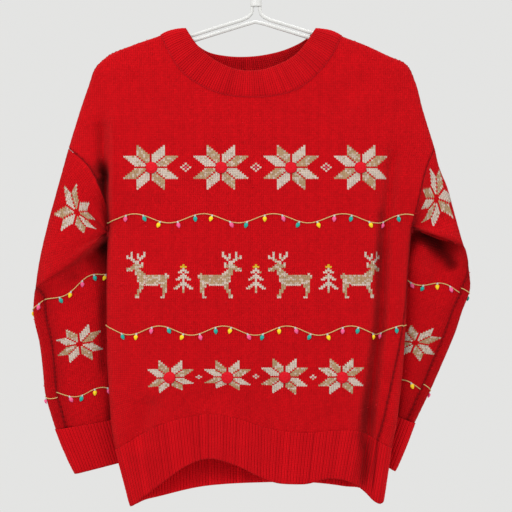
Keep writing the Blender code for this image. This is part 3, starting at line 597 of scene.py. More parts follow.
def nearest_on(border, p, q):
    """Each point moved to the nearest place of a closed line."""
    start, end = border, np.roll(border, -1, 0)
    run = end - start
    size = np.maximum((run**2).sum(-1), 1e-12)
    out = np.empty((len(p), 2))
    for begin in range(0, len(p), 2000):
        point = np.stack([p[begin:begin + 2000], q[begin:begin + 2000]], -1)[:, None]
        share = np.clip(((point - start) * run).sum(-1) / size, 0, 1)
        spot = start + share[..., None] * run
        best = ((spot - point) ** 2).sum(-1).argmin(1)
        out[begin:begin + 2000] = spot[np.arange(len(best)), best]
    return out[:, 0], out[:, 1]


# ----------------------------------------------------------------------------------------- charts
DEER = [
    "..c.....c...........",
    "..c..c..c...........",
    "c.c..c.cc...........",
    "ccc..ccc............",
    "..cc..c.............",
    "...ccc..............",
    "....cc.c............",
    "...ttttc............",
    "..tttttt............",
    "tttttt..............",
    "ctt.ttt.............",
    "....tttt............",
    "....ttttt.........c.",
    ".....ttttttttttttttc",
    ".....ttttttttttttttt",
    ".....tttttttttttttt.",
    ".....ctttttttttttct.",
    "......cctttttttccct.",
    "......tcccccccc.ttt.",
    "......tt........ttt.",
    "......tt.........tt.",
    ".....tt..........tt.",
    ".....tt..........tt.",
    ".....t...........t..",
    "....tt...........t..",
    "....cc..........cc..",
]
FIR = [
    "....y....",
    "...yyy...",
    "....c....",
    "...ccc...",
    "..cc.cc..",
    "....c....",
    "...ccc...",
    "..ccccc..",
    ".cc.c.cc.",
    "....c....",
    "...ccc...",
    "..ccccc..",
    ".cc.c.cc.",
    "cc..c..cc",
    "....t....",
    "....t....",
]
DIAMOND = [
    "..c..",
    ".c.c.",
    "c.p.c",
    ".c.c.",
    "..c..",
]
DOTS = [
    ".c.",
    "cpc",
    ".c.",
]


def star_chart(reach):
    """An eight-pointed star of eight slanted petals, alternately cream and tan."""
    size = 2 * reach + 2
    rows = []
    for y in range(size, -size - 1, -1):
        row = ""
        for x in range(-size, size + 1):
            far, near = max(abs(x), abs(y)), min(abs(x), abs(y))
            petal = 1 <= near <= reach and 1 <= far - near <= reach
            yarn = "t" if (abs(y) > abs(x)) != (x * y > 0) else "c"
            row += yarn if petal else "."
        rows.append(row)
    return rows


def stamp(codes, cloth, base, chart, x, z, y_sign, flip=False):
    """Knits a chart into a surface's colours, its centre at the stitch nearest to a place."""
    p, q = cloth.locate(x, z, y_sign)
    top = int(round((q - base) / COURSE)) + len(chart) // 2
    left = int(round(p / WALE)) + codes.shape[1] // 2 - len(chart[0]) // 2
    for r, line in enumerate(chart):
        for c, yarn in enumerate(line[::-1] if flip else line):
            if yarn != "." and 0 <= top - r < codes.shape[0] and 0 <= left + c < codes.shape[1]:
                codes[top - r, left + c] = yarn


# ------------------------------------------------------------------------------------ mesh making
def finish_mesh(name, points, faces, material):
    """Makes a smooth mesh from points in millimetres and gives it its body and slot."""
    mesh = bpy.data.meshes.new(name)
    mesh.from_pydata((np.asarray(points) * MM).tolist(), [], faces)
    mesh.shade_smooth()
    mesh.materials.append(material)
    obj = bpy.data.objects.new(name, mesh)
    bpy.context.scene.collection.objects.link(obj)
    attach(obj, "root")
    return obj


def set_corners(mesh, uv, colours):
    """Stitch coordinates and the yarn's colour at the corners of the faces."""
    layer = mesh.uv_layers.new(name="stitch")
    layer.uv.foreach_set("vector", np.ascontiguousarray(uv, np.float32).ravel())
    layer = mesh.attributes.new("yarn", "FLOAT_COLOR", "CORNER")
    rgba = np.concatenate([colours, np.ones((len(colours), 1))], -1)
    layer.data.foreach_set("color", np.ascontiguousarray(rgba, np.float32).ravel())


def quads_of(ids):
    """The four corners of every cell in a grid of point numbers."""
    return np.stack([ids[:-1, :-1], ids[:-1, 1:], ids[1:, 1:], ids[1:, :-1]], -1)


def yarn_colours(codes, random):
    """Linear colours of the stitches, with marled yarns mixed from two strands."""
    flat = codes.ravel()
    colour = np.zeros((len(flat), 3))
    for yarn, value in YARNS.items():
        here = flat == yarn
        colour[here] = value
        if yarn in MARL:
            other, share = MARL[yarn]
            mixed = here & (random.random(len(flat)) < share)
            blend = random.uniform(0.4, 1.0, mixed.sum())[:, None]
            colour[mixed] = colour[mixed] * (1 - blend) + np.array(YARNS[other]) * blend
    shade = random.normal(1.0, 0.045, len(flat))[:, None]
    return np.clip(colour * shade, 0, 1).reshape(codes.shape + (3,))


def unblocked_rays(count):
    """Directions over a half ball, closer together round the surface's normal."""
    k = np.arange(count)
    turn = k * math.pi * (3 - math.sqrt(5))
    off = np.sqrt((k + 0.5) / count)
    return np.stack([off * np.cos(turn), off * np.sin(turn), np.sqrt(1 - off**2)], -1)


def garment_tree(grids):
    """All the cloth as one coarse mesh that rays can hit."""
    points, faces = [], []
    for grid, keep in grids:
        ids = np.arange(grid[..., 0].size).reshape(grid.shape[:2]) + len(points)
        faces += quads_of(ids)[keep].tolist()
        points += grid.reshape(-1, 3).tolist()
    return BVHTree.FromPolygons(points, faces)


def coarse(cloth, border):
    """A thinned copy of a surface, with the quads that lie inside its border."""
    p, q = cloth.columns[::HOLLOW_COLUMNS], cloth.rows[::HOLLOW_ROWS]
    middle_p, middle_q = np.meshgrid((p[1:] + p[:-1]) / 2, (q[1:] + q[:-1]) / 2)
    return thinned(cloth.table), inside_border(border, middle_p, middle_q)


def open_share(tree, place, out, local):
    """The share of the light's directions, which lean overhead, that nothing blocks."""
    lean = unit(out + np.array([0.0, 0.0, OVERHEAD]) * (1 - abs(out[2])))
    beside = unit(np.cross(lean, (0.3, 0.2, 0.93)))
    rays = local[:, :1] * beside + local[:, 1:2] * np.cross(lean, beside) + local[:, 2:] * lean
    rays = rays[rays @ out > 0.05]
    start = Vector(place + out * HOLLOW_START)
    free = [tree.ray_cast(start, Vector(ray), HOLLOW_REACH)[0] is None for ray in rays]
    return sum(free) / max(len(free), 1)


def softened(shares):
    """Each value mixed with its four neighbours, twice."""
    for _ in range(2):
        wide = np.pad(shares, 1, mode="edge")
        shares = (wide[:-2, 1:-1] + wide[2:, 1:-1] + wide[1:-1, :-2] + wide[1:-1, 2:] + 2 * shares) / 6
    return shares


def find_openness(cloth, tree, beyond=8):
    """Keeps on the cloth how open each place is: 1 in the open, less in a hollow or under a fold, and changed
    by the bands of painted shade or light.
    """
    grid, normals = thinned(cloth.table), thinned(cloth.normals)
    p, q = cloth.columns[::HOLLOW_COLUMNS], cloth.rows[::HOLLOW_ROWS]
    local = unblocked_rays(HOLLOW_RAYS)
    shares = np.ones(grid.shape[:2])
    low, high = cloth.edges(q)
    for j in range(len(q)):
        for i in np.flatnonzero((p > low[j] - beyond) & (p < high[j] + beyond)):
            shares[j, i] = open_share(tree, grid[j, i], normals[j, i], local)
    cloth.openness = (softened(shares) * (1 - thinned(cloth.shade)))[..., None]


def painted_hollow_shade(cloth, p, q, kind):
    """Painted shade: how much the wool's colour is darkened in a hollow."""
    seen = cloth.read(cloth.openness, p, q, HOLLOW_ROWS, HOLLOW_COLUMNS)
    return np.clip(seen / OPEN_FULL[kind], DARKEST, 1) ** HOLLOW_POWER[kind]


def knit_piece(name, cloth, border, codes, seed, base=Q_HEM):
    """A knitted panel, half a stitch to a face, cut at its border. codes is (courses, wales) from base up."""
    random = np.random.default_rng(seed)
    kind = "sleeve" if name.startswith("sleeve") else "body"
    courses, wales = codes.shape
    half = wales // 2
    columns = np.arange(-2 * half - 1, 2 * half + 2)
    k, r = np.meshgrid(columns, np.arange(courses + 2))
    crown = k % 2 == 0
    wobble = random.normal(0, STITCH_WOBBLE, k.shape)
    p = k * WALE / 2 + random.normal(0, STITCH_DRIFT, k.shape)
    q = base + (r - np.where(crown, CHEVRON, 0.0)) * COURSE + random.normal(0, STITCH_DRIFT, k.shape)

    # A face stays where one of its corners is inside, and its other corners move to the border.
    inside = inside_border(border, p, q)
    quad = inside[:-1, :-1] | inside[1:, :-1] | inside[:-1, 1:] | inside[1:, 1:]
    sides = ((0, 1), (1, 0))
    touched = sum(np.pad(quad, (above, beside)) for above in sides for beside in sides) > 0
    move = touched & ~inside
    p[move], q[move] = nearest_on(border, p[move], q[move])
    low_edge, high_edge = cloth.edges(q)
    to_seam = np.minimum(np.abs(p - low_edge), np.abs(p - high_edge))
    lift = np.where(inside, np.where(crown, WALE_CROWN, -WALE_VALLEY) + wobble, CUT_EDGE_LIFT)
    lift = lift - SEAM_SINK * np.exp(-((to_seam / SEAM_NEAR) ** 2))
    place = cloth.at(p[touched], q[touched]) + cloth.normal(p[touched], q[touched]) * lift[touched][:, None]
    number = np.full(k.shape, -1)
    number[touched] = np.arange(touched.sum())
    obj = finish_mesh(name, place, quads_of(number)[quad].tolist(), MATERIALS["knit"])

    at_r, at_k = np.nonzero(quad)
    to_seam = to_seam[:-1, :-1][quad][:, None]
    # The yarn's colour carries painted shade of hollows, folds and bands, and of the dip beside a seam.
    shade = painted_hollow_shade(cloth, (columns[at_k] + 0.5) * WALE / 2, base + at_r * COURSE, kind)
    shade = shade * (1 - VALLEY_PAINTED_SHADE[kind] * np.exp(-((to_seam / VALLEY_NEAR[kind]) ** 2)))
    # hole is the painted shade of the seam's groove, darkest at every third course.
    hole = np.where(at_r % 3 == 0, SEAM_HOLE_PAINTED_SHADE, SEAM_PAINTED_SHADE)[:, None]
    hole = hole * np.exp(-((to_seam / SEAM_NEAR) ** 2))
    wale = np.clip((columns[at_k] + 1) // 2 + half, 0, wales - 1)
    colours = yarn_colours(codes, random)[np.clip(at_r, 0, courses - 1), wale] * shade * (1 - hole)
    uv = np.stack([at_k, at_r], -1)[:, None] + np.array([(0, 0), (1, 0), (1, 1), (0, 1)])
    set_corners(obj.data, uv, np.repeat(colours, 4, axis=0))
    return obj


# ---------------------------------------------------------------------------------------- sleeves
SLEEVES = {"left": SLEEVE_LEFT, "right": SLEEVE_RIGHT}
RING = 96
# The cloth of a sleeve is a little longer than the line through the middles of its rings.
SLEEVE_SLACK = 1.06


def armhole_line(hand):
    """The armhole as a ring of points, from its top down the front to the underarm and up the back."""
    turn = np.linspace(0, math.pi, RING // 2 + 1)
    v = V_UNDERARM + (V_ARMHOLE_TOP - V_UNDERARM) * (1 + np.cos(turn)) / 2
    flat = edge(hand, np.minimum(v, V_ARMHOLE_TOP - 1e-6))
    ring = np.concatenate([on_side("front", flat)[:-1], on_side("back", flat)[:0:-1]])
    ring[0, 1] = 0.0
    return ring


# Where across a ring its front passes from the outer half's depth to the inner half's, and how fast.
FRONT_TURN = (0.45, 0.33)


def flat_ring(row, count):
    """A flattened ring of 2 * count points: down the front from the outer edge, back up behind."""
    ox, oy, oz, ix, iy, iz, front, back, sag = row
    start, end = np.array([ox, oy, oz], float), np.array([ix, iy, iz], float)
    chord = end - start
    width = np.linalg.norm(chord)
    forward = np.array([0.0, -1.0, 0.0])
    forward = unit(forward - chord * (forward @ chord) / width**2)
    front, inner_front = front if isinstance(front, tuple) else (front, front)
    turn = np.linspace(0, math.pi, count + 1)
    share = (1 - np.cos(turn)) / 2
    points = []
    for part, full, near, way in ((share[:-1], front, inner_front, 1.0), (share[:0:-1], back, back, -1.0)):
        full = full + (near - full) * smooth_step((part - FRONT_TURN[0]) / FRONT_TURN[1])
        from_start, from_end = part * width, (1 - part) * width
        away = round_edge(np.minimum(from_start, from_end), SLEEVE_EDGE_RADIUS)
        rise = 1 - np.exp(-from_start / SLEEVE_EDGE_TO_FULL)
        rise = rise * (1 - np.exp(-from_end / SLEEVE_EDGE_TO_FULL))
        away = away + (full - SLEEVE_EDGE_RADIUS) * rise
        ring = start + part[:, None] * chord + way * away[:, None] * forward
        ring[:, 2] -= (sag if way > 0 else 0.0) * np.sin(math.pi * part) ** 2
        points.append(ring)
    return np.concatenate(points)


def sleeve_rings(hand):
    """Fine rings from the cuff's seam up to the armhole, one for each course, and their heights q."""
    rings = [armhole_line(hand)] + [flat_ring(row, RING // 2) for row in SLEEVES[hand]]
    rings = np.stack(rings[::-1])
    length = SLEEVE_SLACK * arc_of(rings.mean(1))
    courses = np.arange(0.0, length[-1], COURSE)
    courses[-1] = length[-1]
    fine = hermite(length, rings.reshape(len(rings), -1), courses)
    return fine.reshape(len(courses), RING, 3), courses, length[-2 - SLEEVE_FOLDS[hand][0]]


# Where the sleeve's own seam lies round the ring, as shares of its length: above and below the fold
# under the arm, below which it turns forward, and the share of the sleeve's height where it turns.
SLEEVE_SEAM = {"left": (-0.06, 0.115, 0.57), "right": (-0.05, 0.108, 0.57)}
SLEEVE_SEAM_SPAN = 0.20
# The dip along that seam, and the shares of the sleeve's height at which it begins to fade and over
# which it does so.
SEAM_VALLEY = 3.4
SEAM_VALLEY_WIDTH = 9.0
SEAM_VALLEY_TOP = 0.72
SEAM_VALLEY_FADE = 0.15

# Soft swells (positive) and hollows of the sleeves' fronts, below the fold under the arm: the number
# of the first ring that they reach, then lines as in FOLDS.
SLEEVE_FOLDS = {
    "left": (5, [(-205, -455, -205, -560, 7, -5.0)]),
    "right": (4, [(208, -408, 238, -430, 17, 6.0)]),
}
# Soft bands of painted shade below that fold: lines like those above, with the share of light that is lost or,
# below 0, gained as painted light.
SLEEVE_PAINTED_SHADE_AND_LIGHT = {
    "left": [(-282, -456, -240, -424, 14, 0.30), (-203, -376, -208, -398, 8, 0.72)],
    "right": [
        (217, -366, 246, -388, 8, 0.45),
        (246, -388, 269, -420, 9, 0.60),
        (220, -400, 203, -575, 12, -2.0),
    ],
}


def sleeve_cloth(hand, step=1.0):
    """A sleeve's surface. p is 0 down the middle of its front and grows towards the right."""
    fine, courses, fold_at = sleeve_rings(hand)
    grid_p = np.arange(-260.0, 260.0 + step, step)
    table = np.zeros((len(courses), len(grid_p), 3))
    shade = np.zeros(table.shape[:2])
    ends = []
    behind, before, at = SLEEVE_SEAM[hand]
    way = 1.0 if hand == "left" else -1.0
    for j, ring in enumerate(fine):
        closed = np.concatenate([ring, ring[:1]])
        arc = arc_of(closed)
        around, middle = arc[-1], arc[RING // 4]
        seam_at = before + (behind - before) * smooth_step((courses[j] / courses[-1] - at) / SLEEVE_SEAM_SPAN)
        seam = np.interp((seam_at % 1.0) * RING, np.arange(RING + 1), arc) - (around if seam_at < 0 else 0)
        ends.append(sorted((way * (seam - middle), way * (seam - middle + around))))
        place = way * grid_p + middle
        for k in range(3):
            table[j, :, k] = np.interp(place, arc, closed[:, k], period=around)
        # Folds and painted shade lie on the front, below the fold under the arm.
        # The painted shade reaches nearer to the edges.
        share = np.clip(place % around / (2 * middle), 0, 1)
        below = smooth_step((fold_at + 1 - courses[j]) / 3)
        folds = fold_sum(SLEEVE_FOLDS[hand][1], table[j, :, 0], table[j, :, 2])
        table[j, :, 1] -= smooth_step(6 * share * (1 - share)) * below * folds
        bands = fold_sum(SLEEVE_PAINTED_SHADE_AND_LIGHT[hand], table[j, :, 0], table[j, :, 2])
        shade[j] = smooth_step(30 * share * (1 - share)) * below * bands
    low, high = np.array(ends).T
    cloth = Cloth(table, grid_p[0], step, 0.0, courses[-1] / (len(courses) - 1), low, high)
    off = np.minimum(np.abs(grid_p - low[:, None]), np.abs(grid_p - high[:, None]))
    low_down = smooth_step((SEAM_VALLEY_TOP - courses / courses[-1]) / SEAM_VALLEY_FADE)[:, None]
    valley = SEAM_VALLEY * np.exp(-((off / SEAM_VALLEY_WIDTH) ** 2)) * low_down
    return Cloth(table - cloth.normals * valley[..., None], cloth.p0, step, 0.0, cloth.dq, low, high, shade)


def tube_border(cloth):
    """The cut edge of a tube that is opened along its seam."""
    top = np.linspace(cloth.low[-1], cloth.high[-1], 120)[1:-1]
    return closed_border(cloth, cloth.rows, np.stack([top, np.full_like(top, cloth.rows[-1])], -1), 120)


# ------------------------------------------------------------------------------------------- ribs
RIB_STEPS = 6
RIB_OUT = 1.15
RIB_THICK = 2.2
RIB_ROLLED = 0.55
RIB_DRIFT = 0.12
RIB_COURSE = 0.10
RIB_PLUMP = 0.8
RIB_UNEVEN = 0.07
RIB_SHADE_UNEVEN = 0.05
# How far behind the ground the inner face's valleys lie.
RIB_BEHIND = RIB_THICK - 0.8


def rib_profile(columns, random):
    """The height of each column over the ribs' valleys: plump crowns with narrow valleys, a little uneven."""
    phase = np.arange(columns) % RIB_STEPS / RIB_STEPS
    height = np.abs(np.cos(math.pi * phase)) ** RIB_PLUMP
    uneven = np.repeat(random.normal(1.0, RIB_UNEVEN, columns // RIB_STEPS + 1), RIB_STEPS)[:columns]
    return height * uneven


def band_normal(ground, closed, way):
    """Outward normals of a band whose rows run up, with way 1, or down, with -1."""
    across = np.roll(ground, -1, 1) - np.roll(ground, 1, 1) if closed else np.gradient(ground, axis=1)
    return unit(np.cross(across, np.gradient(ground, axis=0) * way))


def rib_faces(rows, columns, closed):
    """The faces of a band of two layers, first the outer layer's points and then the inner one's."""
    outer = np.arange(rows * columns).reshape(rows, columns)
    inner = outer + outer.size
    c = np.arange(columns if closed else columns - 1)
    d = (c + 1) % columns
    front = np.stack([outer[:-1][:, c], outer[1:][:, c], outer[1:][:, d], outer[:-1][:, d]], -1).reshape(-1, 4)
    faces = [
        front,
        front[:, [0, 3, 2, 1]] + outer.size,
        np.stack([outer[-1][c], inner[-1][c], inner[-1][d], outer[-1][d]], -1),
        np.stack([outer[0][c], outer[0][d], inner[0][d], inner[0][c]], -1),
    ]
    if not closed:
        r = np.arange(rows - 1)
        faces.append(np.stack([outer[r, 0], inner[r, 0], inner[r + 1, 0], outer[r + 1, 0]], -1))
        faces.append(np.stack([outer[r, -1], outer[r + 1, -1], inner[r + 1, -1], inner[r, -1]], -1))
    return np.concatenate(faces)


def rib_band(name, ground, closed, seed, upward=False, relief=(0.85, 1.0), inner_painted_light=1.0, bands=()):
    """A 1x1 rib of two faces: ground is (rows, columns, 3) from the seam to the free edge, down or up.

    relief is how far the ribs stand out on the outer and the inner face, the inner face's factor is painted
    light, and bands are lines of painted shade on the front.
    """
    random = np.random.default_rng(seed)
    rows, columns = ground.shape[:2]
    normal = band_normal(ground, closed, 1 if upward else -1)
    height = rib_profile(columns, random)[None, :]
    behind = rib_profile(columns + RIB_STEPS // 2, random)[None, RIB_STEPS // 2:]
    drift = random.normal(0, 1, (rows, columns // RIB_STEPS + 2))
    for _ in range(3):
        drift[1:-1] = (drift[2:] + 2 * drift[1:-1] + drift[:-2]) / 4
    drift = np.repeat(drift, RIB_STEPS, 1)[:, :columns] * RIB_DRIFT
    course = RIB_COURSE * np.cos(np.arange(rows) * math.pi)[:, None]
    edge_fade = np.array([1.0] * (rows - 2) + [(1 + RIB_ROLLED) / 2, RIB_ROLLED])[:, None]
    outer = RIB_OUT * relief[0] * height + drift + course * height
    inner = RIB_BEHIND + RIB_OUT * relief[1] * behind + course * behind
    points = np.concatenate([
        (ground + normal * (outer * edge_fade)[..., None]).reshape(-1, 3),
        (ground - normal * (inner * edge_fade)[..., None]).reshape(-1, 3),
    ])
    faces = rib_faces(rows, columns, closed)
    if upward:
        faces = faces[:, ::-1]
    obj = finish_mesh(name, points, faces.tolist(), MATERIALS["rib"])

    on_inner = faces >= rows * columns
    column, row = faces % columns, faces % (rows * columns) // columns
    u = column.astype(float)
    if closed:
        wrapped = (u.max(1) - u.min(1)) > columns / 2
        u[wrapped] = np.where(u[wrapped] < columns / 2, u[wrapped] + columns, u[wrapped])
    u = u / (RIB_STEPS / 2) + np.where(on_inner.all(1)[:, None], 2.0, 1.0)
    shade = np.repeat(random.normal(1.0, RIB_SHADE_UNEVEN, columns // RIB_STEPS + 2), RIB_STEPS)[column]
    corners = points[faces]
    outer_shade = 1 - (corners[..., 1] < 0) * fold_sum(bands, corners[..., 0], corners[..., 2])
    shade = shade * np.where(on_inner, inner_painted_light, outer_shade)
    colours = (np.array(RIB_RED_PAINTED_SHADE) * shade[..., None]).reshape(-1, 3)
    set_corners(obj.data, np.stack([u, -row.astype(float)], -1), colours)
    return obj


# Where the hem's faces are longer or shorter than in the solids: x, reach and the share of the length.
HEM_LENGTHS = {
    "front": [(158, 12, 0.072), (173, 5, -0.05), (47, 22, -0.022), (-165, 11, 0.05)],
    "back": [(141, 14, -0.06), (173, 5, -0.05), (26, 95, 0.042), (-165, 11, 0.05)],
}
# Painted shade of the front's right fold and of the side seam, down the front hem rib.
RIB_SHADE = [
    (138, -634, 145, -660, 8, 0.46),
    (145, -660, 141, -708, 7, 0.46),
    (162.5, -636, 155, -712, 1.7, 0.50),
]


def hem_ground(side, rows=30):
    """The hem rib's surface from the panel's seam down to its edge."""
    left, right = -90 - SEAM_TURN["left"], 90 - SEAM_TURN["right"]
    start, end = (left, right) if side == "front" else (right, left + 360)
    turns = np.linspace(start, end, 900)
    arc = arc_of(body_point(turns, np.zeros_like(turns)))
    columns = round(arc[-1] / RIB_PITCH) * RIB_STEPS + 1
    turn = np.interp(np.linspace(0, arc[-1], columns), arc, turns)
    v = -np.linspace(0, 1, rows)
    ground = body_point(turn[None, :], v[:, None] * np.ones((1, columns)))
    edge_x = ground[-1, :, 0]
    added = {face: sum(share * np.exp(-(((edge_x - x) / reach) ** 2)) for x, reach, share in HEM_LENGTHS[face])
             for face in HEM_LENGTHS}
    facing = smooth_step((np.cos(np.radians(turn)) + 0.1) / 0.35)
    length = 1 + facing * added["front"] + (1 - facing) * added["back"]
    return ground[:1] + (ground - ground[:1]) * length[:, None]


def ring_ground(start, end, pitch, rows):
    """A band between two rings that holds a whole number of ribs."""
    start, end = (np.concatenate([ring, ring[:1]]) for ring in (start, end))
    arc = arc_of(start)
    columns = round(arc[-1] / pitch) * RIB_STEPS
    place = np.linspace(0, arc[-1], columns + 1)[:-1]
    share = np.linspace(0, 1, rows)[:, None, None]
    return read_line(start, place, arc) * (1 - share) + read_line(end, place, arc) * share


def neck_edge(side, share):
    """The band's upper edge, which turns tightly over the hanger's arms."""
    flat = along(NECK_EDGE_FRONT if side == "front" else NECK_EDGE_BACK)(share)
    full = NECK_EDGE_DEPTH[side]
    near_end = np.minimum(share, 1 - share) * NECK_EDGE_LENGTH
    rise = 1 - np.exp(-near_end / NECK_EDGE_TO_FULL)
    away = round_edge(near_end, NECK_EDGE_RADIUS) + (full - NECK_EDGE_RADIUS) * rise
    return np.stack([flat[:, 0], -away if side == "front" else away, flat[:, 1]], -1)


def neck_ground(rows=15):
    """The neckband's surface from the neckline up to its edge, as a ring from the left round the front."""
    turned = (np.sin(math.pi * (np.linspace(0, 1, 500) - 0.5)) + 1) / 2
    shares = {"front": turned, "back": 1 - turned}
    low = np.concatenate([on_side(side, NECKLINE[side](share))[:-1] for side, share in shares.items()])
    high = np.concatenate([neck_edge(side, share)[:-1] for side, share in shares.items()])
    ground = ring_ground(low, high, NECK_RIB_PITCH, rows)
    bulge = BAND_BULGE * np.sin(math.pi * np.linspace(0, 1, rows) ** 0.8)[:, None, None]
    return ground + band_normal(ground, True, 1) * bulge


def cuff_ground(hand, rows=28):
    """The cuff's surface from the sleeve's last ring down."""
    count = RING // 2
    top = flat_ring(SLEEVES[hand][-1], count)
    *ends, half = CUFFS[hand]
    low = flat_ring((*ends, half, half, 0), count)
    if hand == "right":
        top, low = top[::-1], low[::-1]
    ground = ring_ground(top, low, RIB_PITCH, rows)
    bulge = CUFF_BULGE * np.sin(math.pi * np.linspace(0, 1, rows))[:, None, None]
    return ground + band_normal(ground, True, -1) * bulge


# ------------------------------------------------------------------------- tubes, bulbs and fibres
def tube(points, radii, sides=6):
    """Rings round a line: the points and faces of a round cord. radii is a number or one for each point."""
    points = np.asarray(points, float)
    radii = np.broadcast_to(np.asarray(radii, float), len(points))
    run = unit(np.gradient(points, axis=0))
    side_way = unit(np.cross(run, np.array([0.13, 0.97, 0.21])))
    up_way = np.cross(run, side_way)
    turn = 2 * math.pi * np.arange(sides) / sides
    ring = np.cos(turn)[None, :, None] * side_way[:, None] + np.sin(turn)[None, :, None] * up_way[:, None]
    cloud = points[:, None] + ring * radii[:, None, None]
    n = len(points)
    ids = np.arange(n * sides).reshape(n, sides)
    k = np.arange(sides)
    l = (k + 1) % sides
    quads = np.stack([ids[:-1][:, k], ids[:-1][:, l], ids[1:][:, l], ids[1:][:, k]], -1).reshape(-1, 4)
    return cloud.reshape(-1, 3), quads


class Heap:
    """Many small shapes gathered into one mesh."""

    def __init__(self):
        self.points, self.faces, self.count = [], [], 0

    def add(self, points, *face_lists):
        self.points.append(np.asarray(points, float))
        for faces in face_lists:
            self.faces += (np.asarray(faces) + self.count).tolist()
        self.count += len(points)

    def make(self, name, material, slot_name="knit_red"):
        return finish_mesh(name, np.concatenate(self.points), self.faces, material)


def on_cloth(cloth, pq, out):
    """Places on a surface, lifted by out."""
    pq = np.asarray(pq, float)
    return cloth.at(pq[:, 0], pq[:, 1]) + cloth.normal(pq[:, 0], pq[:, 1]) * np.asarray(out)[..., None]


CORD_RADIUS = 0.62
CORD_STEP = 0.7
# As shares of the cord's radius: how high its middle lies, each strand's radius and swing, one turn.
CORD_HEIGHT = 1.25
PLY_RADIUS = 0.62
PLY_SWING = 0.55
PLY_TURN = 4.2 * 1.6


def twisted_cord(heap, cloth, pq, radius=CORD_RADIUS):
    """A two-ply cord sewn flat: two strands that wind round each other."""
    arc = arc_of(pq)
    fine = np.arange(0, arc[-1], CORD_STEP)
    line = read_line(pq, fine, arc)
    base = on_cloth(cloth, line, np.full(len(fine), radius * CORD_HEIGHT))
    normal = cloth.normal(line[:, 0], line[:, 1])
    run = unit(np.gradient(base, axis=0))
    beside = unit(np.cross(run, normal))
    for ply in (0.0, math.pi):
        turn = fine / (radius * PLY_TURN) * 2 * math.pi + ply
        swing = radius * PLY_SWING
        strand = base + beside * (np.cos(turn) * swing)[:, None] + normal * (np.sin(turn) * swing)[:, None]
        heap.add(*tube(strand, radius * PLY_RADIUS, 5))


def lathe_on(cloth, p, q, lean, profile, sides, flatten=0.55, clear=0.25):
    """A small turned shape lying on the cloth: profile is (along, radius), growing away from (p, q)."""
    p, q = np.array([p]), np.array([q])
    seat, normal = cloth.at(p, q)[0], cloth.normal(p, q)[0]
    down = np.array([math.sin(lean), 0.0, -math.cos(lean)])
    down = unit(down - normal * (down @ normal))
    beside = np.cross(down, normal)
    points, faces = [], []
    for along_it, radius in profile:
        for k in range(sides):
            turn = 2 * math.pi * k / sides
            lift = radius * flatten * (1 + math.sin(turn)) + clear
            points.append(seat + down * along_it + beside * radius * math.cos(turn) + normal * lift)
    for start in range(0, (len(profile) - 1) * sides, sides):
        for k in range(sides):
            l = (k + 1) % sides
            faces.append((start + k, start + l, start + sides + l, start + sides + k))
    return points, faces


BULB = [(1.9, 0.0), (2.0, 1.3), (2.9, 2.2), (4.3, 2.75), (5.8, 2.55), (7.3, 1.8), (8.6, 0.85), (9.1, 0.0)]
BULB_CAP = [(-0.7, 0.0), (-0.6, 0.9), (0.0, 1.25), (1.7, 1.45), (2.5, 1.35), (2.6, 0.0)]
BULB_YARNS = ("p", "g", "y")
# No bulb hangs nearer than this to the end of a string.
BULB_CLEAR = 6


def light_string(heaps, cloth, ends, level, swing, pitch, phase, first):
    """An evenly waved cord with bulbs hanging from it at a steady spacing."""
    start, end = (float(p) for p in ends)
    p = np.arange(start, end, 1.0)
    wave = np.sin(2 * math.pi * (p - phase) / pitch)
    twisted_cord(heaps["cord"], cloth, np.stack([p, level + swing * wave], -1))
    spacing = pitch / 4
    number = first
    first_step = math.ceil((start + BULB_CLEAR - phase) / spacing)
    for n in range(first_step, int((end - BULB_CLEAR - phase) // spacing) + 1):
        at = phase + (n + 0.5) * spacing
        if not start + BULB_CLEAR - 1 < at < end - BULB_CLEAR + 1:
            continue
        height = level + swing * math.sin(2 * math.pi * (at - phase) / pitch)
        lean = 0.5 * math.sin(n * 2.4)
        heaps["cap"].add(*lathe_on(cloth, at, height, lean, BULB_CAP, 8))
        heaps[BULB_YARNS[number % 3]].add(*lathe_on(cloth, at, height, lean, BULB, 12))
        number += 1


def chain_seam(heap, points, radius, pitch=2.6):
    """A line of chain stitches: a tube that swells at every stitch."""
    arc = arc_of(points)
    fine = np.arange(0, arc[-1], pitch / 4)
    swell = radius * (0.72 + 0.28 * np.abs(np.sin(math.pi * fine / pitch)))
    heap.add(*tube(read_line(points, fine, arc), swell))


def fibres(heap, places, normals, random, length=2.6, width=0.075):
    """Short curved fibres: three points wide at the root and one at the tip."""
    n = len(places)
    away = unit(normals + random.normal(0, 0.75, (n, 3)))
    bend = random.normal(0, 0.5, (n, 3)) + np.array([0, 0, -0.35])
    size = length * random.lognormal(0, 0.35, n)[:, None]
    beside = unit(np.cross(away, random.normal(0, 1, (n, 3)))) * width / 2
    middle = places + away * size * 0.55
    tip = places + unit(away + bend) * size
    points = np.stack([places - beside, places + beside, middle + beside * 0.8, middle - beside * 0.8, tip], 1)
    ids = np.arange(n)[:, None] * 5
    heap.add(points.reshape(-1, 3), ids + np.array([0, 1, 2, 3]), ids + np.array([3, 2, 4]))


def pills(heap, places, normals, random):
    """Little balls of worn fibre that sit on the knit."""
    spots = [(0, 0, 1), (0, 0, -1)]
    for z in (0.5, -0.5):
        for k in range(5):
            turn = 2 * math.pi * (k + (z < 0) * 0.5) / 5
            spots.append((math.cos(turn) * 0.87, math.sin(turn) * 0.87, z))
    spots = np.array(spots)
    faces = []
    for k in range(5):
        l = (k + 1) % 5
        faces += [(0, 2 + k, 2 + l), (1, 7 + l, 7 + k), (2 + k, 7 + k, 2 + l), (2 + l, 7 + k, 7 + l)]
    for place, normal in zip(places, normals):
        size = random.uniform(0.45, 1.05) * (1 + 0.25 * random.normal(0, 1, (12, 1)))
        heap.add(place + normal * 0.5 + spots * size * random.uniform(0.8, 1.2, (12, 3)), faces)


